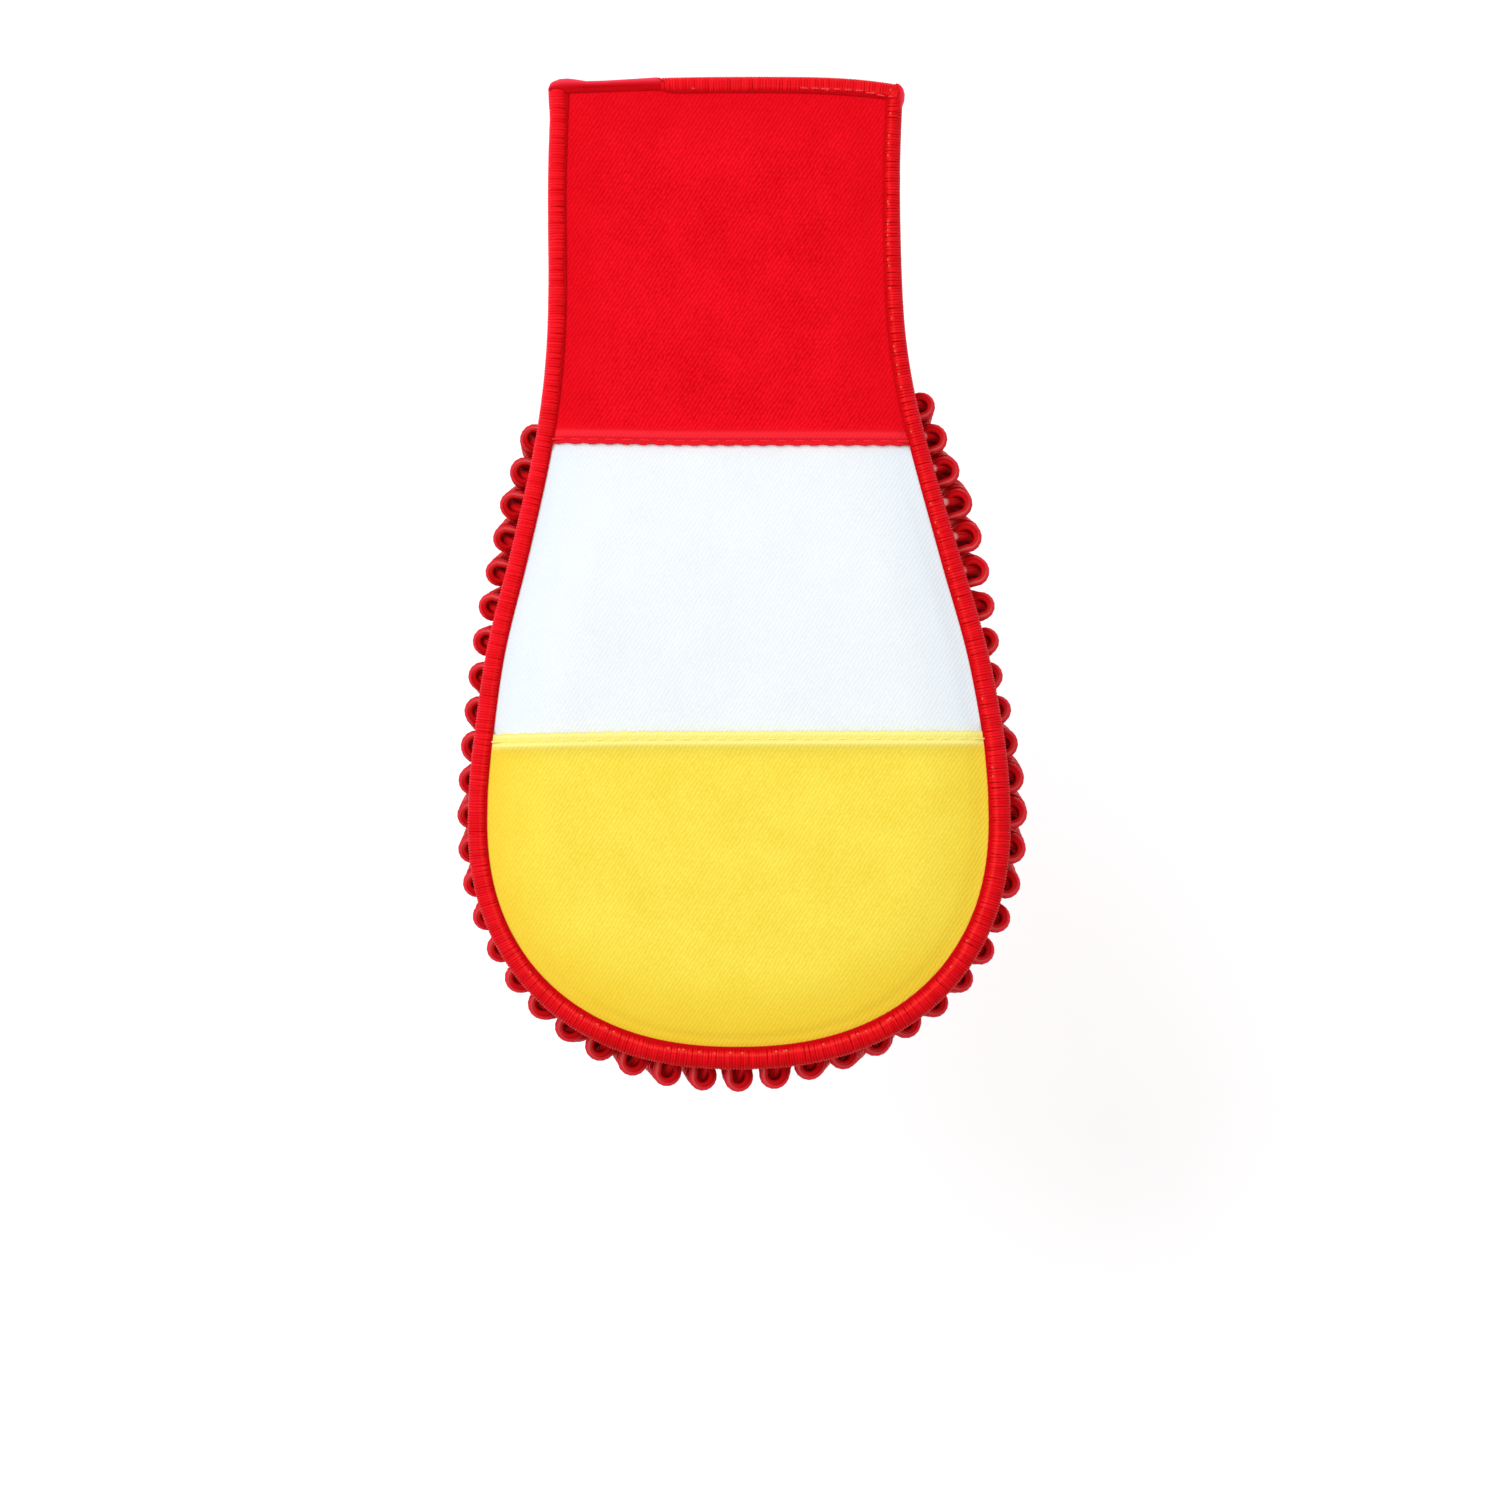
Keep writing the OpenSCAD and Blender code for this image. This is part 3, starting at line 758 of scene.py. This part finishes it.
overcast, given, feed = group_of("overcast_threads", "GeometryNodeTree", {
    "Geometry": "Geometry", "Pitch": THREAD_PITCH * MM, "Thread radius": THREAD_RADIUS * MM,
    "Section width": SECTION_WIDE * MM, "Section height": SECTION_HIGH * MM, "Section middle": SECTION_MIDDLE * MM,
    "From angle": radians(THREAD_FROM), "Sweep": radians(THREAD_SWEEP), "Steps": 14, "Sides": 6,
    "Tilt": radians(3), "Uneven": 0.03, "Seed": 11, "Material": "Material"}, {"Geometry": "Geometry"})
places = spaced(given["Geometry"], given["Pitch"])
arc = node(overcast, "GeometryNodeCurveArc", {
    "Resolution": given["Steps"], "Radius": 1.0, "Start Angle": given["From angle"], "Sweep Angle": given["Sweep"]})
x, y, _ = split(position_in(overcast))
wide, high, middle = (given["Section " + part] for part in ("width", "height", "middle"))
standing = joined(overcast, X=x * wide - wide, Z=y * high + middle)
arc = node(overcast, "GeometryNodeSetPosition", {"Geometry": arc, "Position": standing})
turn = node(overcast, "GeometryNodeSplineParameter", out="Factor")
ends = sums("MINIMUM", turn, 1 - turn) * 14
taper = sums("MINIMUM", ends, 1) * (1 - THREAD_END) + THREAD_END
thread = spun(stored(arc, "turn", turn), circle_of(given["Thread radius"], given["Sides"]), taper)
# How far a point lies to the side of its thread; the satin paints shade there, in the lines between threads
sideways = split(position_in(overcast))[1]
thread = stored(thread, "beside", abs(sideways) / given["Thread radius"])
swell = kept(overcast, "swell")
uneven = random_of(given["Seed"] + 5, 1 - given["Uneven"], given["Uneven"] + 1)
fat = swell + 1
size = joined(overcast, X=kept(overcast, "width") * uneven * fat, Y=fat, Z=swell * 0.6 + 1)
copies = laid(places, thread, kept(overcast, "out", "FLOAT_VECTOR"), given["Tilt"], given["Seed"], size)
copies = stored(copies, "thread", random_of(given["Seed"] + 9, 0, 1), domain="INSTANCE")
feed(Geometry=finished(copies, given["Material"]))

# Filaments: the fine lengthwise fibres of a glossy thread, from coordinates that run round and along it
filaments, given, feed = group_of("filaments", "ShaderNodeTree", {
    "Around": "Vector", "Along": 0.0, "Fineness": 5.0, "Stretch": 0.3}, {"Height": "Float", "Shade": "Float"})
lengthwise = joined(filaments, Z=given["Along"] * given["Stretch"])
fine = grain(vectors("ADD", scaled(given["Around"], given["Fineness"]), lengthwise), 1, 3, 0.6)
feed(Height=fine, Shade=clamped((fine - 0.5) * 2.2 + 0.5))

red_satin, tree = finish_of("red_satin", roughness=0.4, specular=0.04)
place = place_in(tree)
own, turn, beside, contrast, flank_sheen, specked = (
    attribute(tree, name) for name in ("thread", "turn", "beside", "contrast", "flank_sheen", "specked"))
fibre = node(tree, "ShaderNodeGroup", {
    "Around": scaled(place, 1 / MM), "Along": turn, "Fineness": 2.5, "Stretch": 2.0}, "Height", node_tree=filaments)
plain = 1 - flank_sheen
face_tone = blended(own, (234, 10, 22), (252, 22, 34))
# The outer flank takes a painted sheen on some stretches of the rim and painted shade on the others
flank_sheen_and_shade = blended(flank_sheen, blended(own, (202, 2, 8), (220, 8, 16)), blended(own, (250, 22, 40), (255, 40, 58)))
worn = sums("GREATER_THAN", grain(place, 130), 0.62)
# A painted highlight along each thread's crown, and at the inner end painted shade over a darker thread
crown = clamped(1 - abs(turn - CROWN_AT) * 26)
speck = clamped((1 - abs(turn - SPECK_AT) * 60) * sums("LESS_THAN", own, specked))
# The lines between threads are painted shade
tone = layered(
    blended(ranged(turn, 0.84, 0.6), face_tone, flank_sheen_and_shade), (fibre.other("Shade") * 0.28, (205, 6, 14)),
    (worn * 0.12, (170, 6, 10)), (ranged(beside, 0.45, 0.95) * contrast, (150, 2, 12)),
    (crown * plain * 0.45, (255, 70, 56)), (ranged(turn, FOOT_FROM, FOOT_TO) * plain * 0.75, (186, 6, 4)),
    (speck * 0.55, (255, 150, 120)))
coated(tone, fibre, 0.4, 0.05)

guide_points, ring = [], []
for (x, y), out, run in zip(rim, outs, runs):
    if x < ROLL_END and y > HALF_LENGTH - 2.2:
        continue
    inset = between(WIDTH_ROWS, run, 2)
    width = (between(WIDTH_ROWS, run) + PLAIN_INSET - inset) / PLAIN_WIDTH
    width *= 1 + WAVE * noise.noise(Vector((run / 9, 1, 2)))
    swell = CORNER_SWELL * (1 - ease(dist((x, y), RIGHT_CORNER) / CORNER_SPREAD))
    swell += RIPPLE * noise.noise(Vector((run / 1.6, 5, 1)))
    ring.append((out, width, swell, *(between(CONTRAST_ROWS, run, column) for column in (1, 2, 3))))
    inset += (CORNER_INSET - PLAIN_INSET) * (1 - ease(dist((x, y), LEFT_CORNER) / 6))
    guide_points.append((x - out[0] * inset, y - out[1] * inset, 0))
guide = line_of("satin_guide", guide_points)
for name, values in zip(("out", "width", "swell", "contrast", "specked", "flank_sheen"), zip(*ring)):
    give(guide, name, values)
satin = grown("binding_satin", guide, overcast, {"Material": red_satin})
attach(satin, "root")
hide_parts("binding")


# Folded ends of the binding.
# At the strap's left corner the binding's loose end is turned in and lies along the edge as a smooth roll, which
# ends aslant under the satin, with a painted highlight on its upper side and painted shade at its end. A short turn
# wraps the right corner, with a row of pale stitches beside it, which also stand in for the highlight along the
# binding's inner edge there.
ROLL_ROWS = [  # x, outer y, inner y
    (-34.38, 88.0, 87.6), (-34.25, 88.7, 87.3), (-33.6, 89.35, 87.2), (-32.3, 89.85, 87.2), (-30.8, 89.95, 87.3),
    (-29.2, 89.75, 87.55), (-27.4, 89.45, 87.8), (-24, 89.55, 87.9), (-20, 89.8, 87.95), (-16, 90.05, 87.95),
    (-13.4, 90.15, 87.9), (-12.4, 90.1, 88.0)]
TURN_ROWS = [  # y, outer x, inner x
    (88.95, 29.3, 28.9), (88.7, 29.8, 28.6), (88.0, 30.35, 28.6), (87.0, 30.6, 28.7), (85.8, 30.5, 28.8),
    (84.8, 30.15, 29.0), (84.2, 29.85, 29.2)]
ROLL_MIDDLE, ROLL_HALF = 1.1, 1.95
ROLL_SIDES, ROLL_FULLNESS = 24, 0.85
ROLL_SLANT, SLANT_LONG, FOLD_LONG = 1.7, 4, 0.9


def rolled(rows, size, upright):
    """Skin of a roll: its points, faces, the painted highlight on its upper outer side, and the painted shade at
    its folded end. The table's keys are x, or y if it stands upright."""
    keys = steps(rows[0][0], rows[-1][0], size)
    points, roll_highlight, end_shade = [], [], []
    table = rows if rows[0][0] < rows[-1][0] else rows[::-1]
    for key in keys:
        outer, inner = between(table, key, 1), between(table, key, 2)
        tall = ROLL_HALF * min(1, ((outer - inner) / 1.6) ** 0.5)
        to_end = rows[-1][0] - key
        for i in range(ROLL_SIDES):
            a = tau * i / ROLL_SIDES
            full = [copysign(abs(c) ** ROLL_FULLNESS, c) for c in (cos(a), sin(a))]
            out = (outer + inner) / 2 + (outer - inner) / 2 * full[0]
            slanted = key - ROLL_SLANT * (0.5 + 0.5 * full[0]) * ease(1 - to_end / SLANT_LONG)
            points.append((*((out, key) if upright else (slanted, out)), ROLL_MIDDLE + tall * full[1]))
            roll_highlight.append(ease((cos(a) + 0.2) / 0.8) * ease((sin(a) + 0.2) / 0.6))
            end_shade.append(0 if upright else ease(1 - to_end / FOLD_LONG))
    n = len(points)
    faces = [tuple(range(ROLL_SIDES)), tuple(n - 1 - i for i in range(ROLL_SIDES))]
    for k in range(len(keys) - 1):
        for i in range(ROLL_SIDES):
            a, b, j = k * ROLL_SIDES, (k + 1) * ROLL_SIDES, (i + 1) % ROLL_SIDES
            faces.append((a + i, b + i, b + j, a + j))
    return points, faces, roll_highlight, end_shade


roll_points, roll_faces, roll_highlight, end_shade = rolled(ROLL_ROWS, 0.35, upright=False)
turn_points, turn_faces, turn_highlight, turn_end_shade = rolled(TURN_ROWS, 0.2, upright=True)
roll_faces += [tuple(len(roll_points) + i for i in face) for face in turn_faces]
roll_mesh = shape("folded_end", roll_points + turn_points, roll_faces)
give(roll_mesh, "roll_highlight", roll_highlight + turn_highlight)
give(roll_mesh, "end_shade", end_shade + turn_end_shade)
roll_red, tree = finish_of("roll_red", roughness=0.5, specular=0.06)
soft = grain(place_in(tree), 500, 3)
# Painted highlight on the upper outer side, painted shade at the end under the satin
tone = blended(attribute(tree, "roll_highlight"), (208, 2, 18), (255, 62, 86))
tone = layered(tone, (attribute(tree, "end_shade"), (140, 0, 10)), (soft * 0.3, (215, 8, 22)))
coated(tone, soft, 0.5, 0.12)
folded_end = shown("folded_end", roll_mesh, roll_red)
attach(folded_end, "root")

# Pale stitches along the binding's inner edge, which also stand in for the highlight along that edge
end_line = []
for x in steps(12.2, 28.2, 1):
    drop = ease((x - 22) / 4)
    end_line.append((x, smooth(TOP_ROWS, 1, x) - 2.05 - 0.5 * drop, 3.02 - 0.12 * drop))
end_stitches_and_highlight = grown("end_stitches_and_highlight", line_of("end_stitches_and_highlight", end_line), running, {
    "Pitch": 1.9 * MM, "Stitch length": 1.3 * MM, "Thread radius": 0.11 * MM, "Wobble": 0.12, "Seed": 8,
    "Material": thread_finish("pink_thread", 255, 74, 88)})
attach(end_stitches_and_highlight, "root")


# Head of the fringe.
# A narrow woven head wrapped with yarn, sewn under the rim just behind the binding.
# The cords hang from it, and it shows from below and between their tops.
HEAD_MIDDLE, HEAD_HALF, HEAD_AT, HEAD_TALL = 3.2, 2.9, -2.25, 0.85
HEAD_PITCH, HEAD_THREAD, HEAD_RIDGE, HEAD_CREST = 0.68, 0.45, 0.5, 0.1
FRINGE_LEFT, FRINGE_RIGHT = 24.6, 30.4
ROUTE_STEPS = 8
CORD_PITCH = 6.35
YARN_STRANDS = 5

left_steps = steps(FRINGE_LEFT, OVAL_Y, (FRINGE_LEFT - OVAL_Y) / ROUTE_STEPS)
right_steps = steps(OVAL_Y, FRINGE_RIGHT, (FRINGE_RIGHT - OVAL_Y) / ROUTE_STEPS)
route = [(edge_x(LEFT, y), y) for y in left_steps[:-1]] + [oval_point(a) for a in range(0, 181, 4)]
route += [(edge_x(RIGHT, y), y) for y in right_steps[1:]]
route_rows = [(0, *route[0])]
for a, b in zip(route, route[1:]):
    route_rows.append((route_rows[-1][0] + dist(a, b), *b))
route_length = route_rows[-1][0]
cords = round(route_length / CORD_PITCH) + 1


def on_route(share):
    run = share * route_length
    return Vector((between(route_rows, run), between(route_rows, run, 2), 0))


def along(share):
    return (on_route(min(share + 0.004, 1)) - on_route(max(share - 0.004, 0))).normalized()


def outwards(share):
    way = along(share)
    return Vector((way.y, -way.x, 0))


yarn_red, tree = finish_of("yarn_red", roughness=0.45, specular=0.02)
around = attribute(tree, "around", "Vector")
ridge, own, facing_out, glint = (attribute(tree, name) for name in ("ridge", "thread", "crest", "glint"))
along_it = attribute(tree, "run") / MM
fibre = node(tree, "ShaderNodeGroup", {
    "Around": around, "Along": along_it, "Fineness": 4.0, "Stretch": 0.35}, "Height", node_tree=filaments)
shade = fibre.other("Shade")
# Painted shade where the yarn faces down or in towards the cord's axis
outside, away = ranged(ridge, 1, 1.15), ranged(ridge, 0.3, 0.75)
body = sums("MAXIMUM", ranged(facing_out, -0.25, 0.75), outside) * away
# Painted highlight on each ply's crest and on the tops of the loops, and a pinker painted highlight on the loops'
# outer side
lit = ranged(facing_out, 0.84, 1) * away * (shade * 0.8 + 0.2)
# Painted shade in the creases between the strands of each ply
x, y, _ = split(around)
strand = abs(sums("COSINE", sums("ARCTAN2", y, x) * (YARN_STRANDS / 2))) ** 0.6
# The layers end with a small painted glint on each cord's tail
tone = layered(
    blended(body, (112, 4, 10), (228, 18, 26)), (outside * 0.65, (250, 62, 78)), (lit, (255, 130, 126)),
    (shade * 0.28, (150, 6, 14)), (own * 0.22, (150, 4, 10)), ((1 - strand) ** 2 * 0.45, (100, 0, 4)),
    (ranged(glint * facing_out, 0.35, 0.8), (255, 190, 186)))
coated(tone, strand + fibre * 0.35, 0.8, 0.2)

shares = steps(0, 1, 1 / 300)
head_points = [tuple(on_route(s) - outwards(s) * (HEAD_MIDDLE - HEAD_HALF)) for s in shares]
head_guide = line_of("head_guide", head_points)
give(head_guide, "out", [tuple(outwards(s)) for s in shares])
for label, value in (("width", 1.0), ("swell", 0.0)):
    give(head_guide, label, [value] * len(shares))
fringe_head = grown("fringe_head", head_guide, overcast, {
    "Pitch": HEAD_PITCH * MM, "Thread radius": HEAD_THREAD * MM, "Section width": HEAD_HALF * MM,
    "Section height": HEAD_TALL * MM, "Section middle": HEAD_AT * MM, "From angle": 0.0, "Sweep": tau * 0.999,
    "Steps": 16, "Sides": 5, "Tilt": radians(6), "Uneven": 0.03, "Seed": 23, "Material": yarn_red})
# Fixed values that give the head's yarn painted shade, as it lies under the rim, with almost no painted highlight
for label, value in (("ridge", HEAD_RIDGE), ("crest", HEAD_CREST)):
    give(fringe_head.data, label, [value] * len(fringe_head.data.vertices))
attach(fringe_head, "root")
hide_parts("fringe")


# Cords of the fringe.
# Each cord is one length of glossy red rayon yarn, laid double and twisted, with the turn of the yarn as a knob
# at its tip. Both legs are caught in the head, and the upper turn stands out from the rim as a loop.
CORD_D, CORD_LONG, CORD_VARY = 5.5, 55, 4.5
TIP_SPREAD, TIP_LEAN, END_LEAN = 3, 5, 4
CORD_BEND, CORD_HOOK, CORD_SWAY = 1.7, 3.0, 1.5
CORD_TOP = -2.3
REACH_ROWS = [  # share of the row, how far the cords' outer side stands outside the binding
    (0, 3.1), (0.04, 4.3), (0.09, 4.1), (0.15, 2.9), (0.21, 2.4), (0.31, 2.5), (0.37, 3.3), (0.45, 5.2), (0.5, 5.2),
    (0.54, 3.6), (0.6, 2.9), (0.67, 3.7), (0.75, 3.8), (0.83, 2.5), (0.89, 4.9), (0.93, 5.6), (1, 3.5)]
CORD_ROWS = [  # share of a cord's length, share of its diameter
    (0, 1), (0.16, 1), (0.32, 1.02), (0.48, 1), (0.64, 0.93), (0.78, 0.84), (0.88, 0.72), (0.93, 0.64),
    (0.97, 0.76), (1, 0.8)]
TWIST_PITCH, TWIST_VARY, TIP_TWIST = 10.8, 0.07, 0.1
SLACK, SLACK_VARY = 1.07, 0.06
TURN_STEPS = 14
YARN_SHARE, YARN_FLAT, YARN_SIDES = 0.5, 0.5, 12
LOOP_RADIUS, LOOP_YARN, LOOP_DEPTH, LOOP_SWELL = 1.78, 0.76, 4.2, 0.14
LOOP_FROM, LOOP_VARY, SECOND_FROM = -100, 14, 2.5
# LOOP_LIT sets the loops' painted highlight and NECK_SHADE the painted shade on the cords just below them
LOOP_LIT, NECK_SHADE = 0.7, 0.28
COIL_TURNS, COIL_DEPTH = 0.5, 2.4
TIP_TURN, TIP_GAP, TIP_SWELL = 1.7, 1.2, 0.3
SPARE_INSET, SPARE_LONG, SPARE_WIDE = 3.3, 15, 3.2
SPARE_TOP, SPARE_DROP, SPARE_BOW, SPARE_YARN = -2.7, 3.2, 1.2, 0.75
SPARE_TURNS, SPARE_STEPS = 4.5, 60


def swing(i, seed):
    """Slow and quick swings from cord to cord, between -1 and 1."""
    return 0.6 * sin(radians(41 * i + seed)) + 0.4 * sin(radians(97 * i + 3 * seed))


def cord_middle(i, t):
    """Middle of cord i at a share t of its length."""
    share = i / (cords - 1)
    out = between(REACH_ROWS, share) - CORD_D / 2 + TIP_SPREAD * (0.5 + 0.5 * swing(i, 20)) * t**1.5
    out += CORD_SWAY * 0.5 * (swing(i, 45) - 1) * sin(pi * t)
    lean = ((END_LEAN * (2 * share - 1) + TIP_LEAN * swing(i, 130)) * t
            + CORD_BEND * swing(i, 75) * sin(pi * t) + CORD_HOOK * swing(i, 310) * t**5
            + CORD_SWAY * swing(i, 160) * sin(tau * t) * ease(2 * t))
    place = on_route(share) + outwards(share) * out + along(share) * lean
    place.z = CORD_TOP - (CORD_LONG + CORD_VARY * swing(i, 250)) * t
    return place


def cord_yarn(i):
    """The route of cord i's yarn: at each point its place, its radius, the middle of the cord, the cord's reach
    scaled for the painted light and shade of the loop and neck, and how much the yarn is pressed flat against its
    other leg."""
    share = i / (cords - 1)
    out, way = outwards(share), along(share)
    long = CORD_LONG + CORD_VARY * swing(i, 250)
    pitch = TWIST_PITCH * (1 + TWIST_VARY * swing(i, 200))
    first = LOOP_FROM + LOOP_VARY * swing(i, 15)
    slack = SLACK + SLACK_VARY * swing(i, 95)
    loop_yarn = LOOP_YARN * (1 + LOOP_SWELL * sin(pi * share))

    def at(s, extra):
        t = min(max(s / long, 0), 1)
        reach = CORD_D / 2 * between(CORD_ROWS, t) * slack
        settle = ease(s / LOOP_DEPTH)
        yarn = loop_yarn + (YARN_SHARE * reach - loop_yarn) * settle
        radius = LOOP_RADIUS * slack + (reach - YARN_SHARE * reach - LOOP_RADIUS * slack) * settle
        coil = COIL_TURNS * (1 - (1 - min(s / COIL_DEPTH, 1)) ** 1.6)
        angle = radians(first + extra + 360 * (s / pitch * (1 + TIP_TWIST * t * t) + coil))
        middle = cord_middle(i, t)
        # A reach that sets the painted light and shade: smaller on the loop, larger on the neck below it
        neck = sin(pi * min(max((s - 1) / 5, 0), 1))
        lit = reach * (LOOP_LIT + (1 - LOOP_LIT) * settle + NECK_SHADE * neck)
        place = middle + (out * cos(angle) + way * sin(angle)) * radius
        return place, yarn, middle, lit, YARN_FLAT * settle

    coil_step = COIL_DEPTH / (COIL_TURNS + COIL_DEPTH / pitch) / TURN_STEPS / 1.4
    rings = steps(0, COIL_DEPTH, coil_step) + steps(COIL_DEPTH, long - TIP_TURN - TIP_GAP, pitch / TURN_STEPS)[1:]
    down = [at(s, 0) for s in rings]
    up = [at(s, 180) for s in reversed(rings) if s > SECOND_FROM]
    a, b = down[-1], up[0]
    tip = []
    for k in range(1, 6):
        angle = pi * k / 6
        low = Vector((0, 0, TIP_TURN * sin(angle)))
        place = (a[0] + b[0]) / 2 + (a[0] - b[0]) / 2 * cos(angle) - low
        tip.append((place, a[1] * (1 + TIP_SWELL * sin(angle)), (a[2] + b[2]) / 2, a[3], a[4] * 0.5))
    inner = on_route(share) - out * 2.8
    start = Vector((*(inner + way * (down[0][0] - cord_middle(i, 0)).dot(way)).xy, CORD_TOP - 0.05))
    half_way = (start + down[0][0]) / 2
    legs = [(start, LOOP_YARN * 0.9, start - out * 3, 3, 0),
            (half_way, LOOP_YARN * 0.95, half_way - out * 2, 3, 0)]
    last = up[-1]
    rise = Vector((*(on_route(share) - out * 2.6 + way * 1.2).xy, CORD_TOP))
    tail = [(last[0].lerp(rise, t) + Vector((0, 0, 1.2 * t * (1 - t))), last[1] + (LOOP_YARN - last[1]) * t,
             last[2], last[3], 0) for t in (0.2, 0.4, 0.6, 0.8, 1)]
    return legs + down + tip + up + tail


def spare_loop(share, ply):
    """One ply of the loose loop that the head's own cord makes past the end of the row, under the strap."""
    out, way = outwards(share), along(share) * (-1 if share < 0.5 else 1)
    start = on_route(share) - out * SPARE_INSET - way * 2
    yarn = []
    for k in range(SPARE_STEPS + 1):
        t = k / SPARE_STEPS
        bow = sin(pi * t)
        middle = start + way * SPARE_LONG * bow**0.7 + out * SPARE_WIDE * (t - 0.5) * (1 - bow * 0.3)
        middle.z = SPARE_TOP - SPARE_DROP * t - SPARE_BOW * bow
        angle = tau * (SPARE_TURNS * t + ply / 2)
        offset = Vector((0, 0, 1)) * cos(angle) + out * sin(angle) + way * sin(angle) * (2 * t - 1)
        yarn.append((middle + offset * SPARE_YARN * 0.8, SPARE_YARN, middle, SPARE_YARN * 1.8, 0))
    return yarn


twisted, given, feed = group_of("twisted_yarn", "GeometryNodeTree", {
    "Geometry": "Geometry", "Sides": YARN_SIDES, "Material": "Material"}, {"Geometry": "Geometry"})
path = node(twisted, "GeometryNodeMeshToCurve", {0: given["Geometry"]})
path = stored(path, "run", node(twisted, "GeometryNodeSplineParameter", out="Length"))
path = stored(path, "centre", position_in(twisted), "FLOAT_VECTOR")
ring = stored(circle_of(1.0, given["Sides"]), "around", position_in(twisted), "FLOAT_VECTOR")
thick, reach, flat = (kept(twisted, name) for name in ("thick", "reach", "flat"))
middle, centre = (kept(twisted, name, "FLOAT_VECTOR") for name in ("middle", "centre"))
tube = spun(path, ring, thick)
radial = vectors("NORMALIZE", vectors("SUBTRACT", centre, middle))
skin = vectors("SUBTRACT", position_in(twisted), centre)
# crest: how much a point of the yarn faces out from the cord, or up where it is not pressed flat; ridge: its
# distance from the cord's middle against its reach. The yarn's colours paint light and shade by both
outer = vectors("DOT_PRODUCT", skin, radial, out="Value")
settled = flat / YARN_FLAT
crest = (outer * settled + split(skin)[2] * (1 - settled)) / thick
tube = stored(tube, "crest", crest)
sideways = vectors("SUBTRACT", skin, scaled(radial, outer))
tube = node(twisted, "GeometryNodeSetPosition", {"Geometry": tube, "Offset": scaled(sideways, flat)})
from_middle = vectors("DISTANCE", position_in(twisted), middle, out="Value")
feed(Geometry=finished(stored(tube, "ridge", from_middle / reach), given["Material"]))


def yarn_guide(name, yarns):
    """A mesh of edges through several yarns, with the values that the tree needs at each point."""
    points, edges, rows = [], [], []
    for k, yarn in enumerate(yarns):
        edges += [(len(points) + i, len(points) + i + 1) for i in range(len(yarn) - 1)]
        for i, (place, thick, middle, reach, flat) in enumerate(yarn):
            # A small painted glint where each cord's tail comes out from under the rim, stronger towards the end of
            # the row
            glint = 0.45 + 0.5 * ease(k / 12 - 2) if i == len(yarn) - 3 else 0
            points.append(tuple(place))
            # Some cords darker than others at random, which also stands in for the shade on cords that hang behind
            # others
            rows.append((tuple(middle * MM), thick * MM, reach * MM, flat, 0.5 + 0.5 * swing(k, 33), glint))
    mesh = shape(name, points, [], edges)
    for label, values in zip(("middle", "thick", "reach", "flat", "thread", "glint"), zip(*rows)):
        give(mesh, label, values)
    return mesh


yarns = [cord_yarn(i) for i in range(cords)] + [spare_loop(share, ply) for share in (0, 1) for ply in (0, 1)]
fringe_cords = grown("fringe_cords", yarn_guide("cord_guide", yarns), twisted, {"Material": yarn_red})
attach(fringe_cords, "root")
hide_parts("fringe")


low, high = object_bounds()
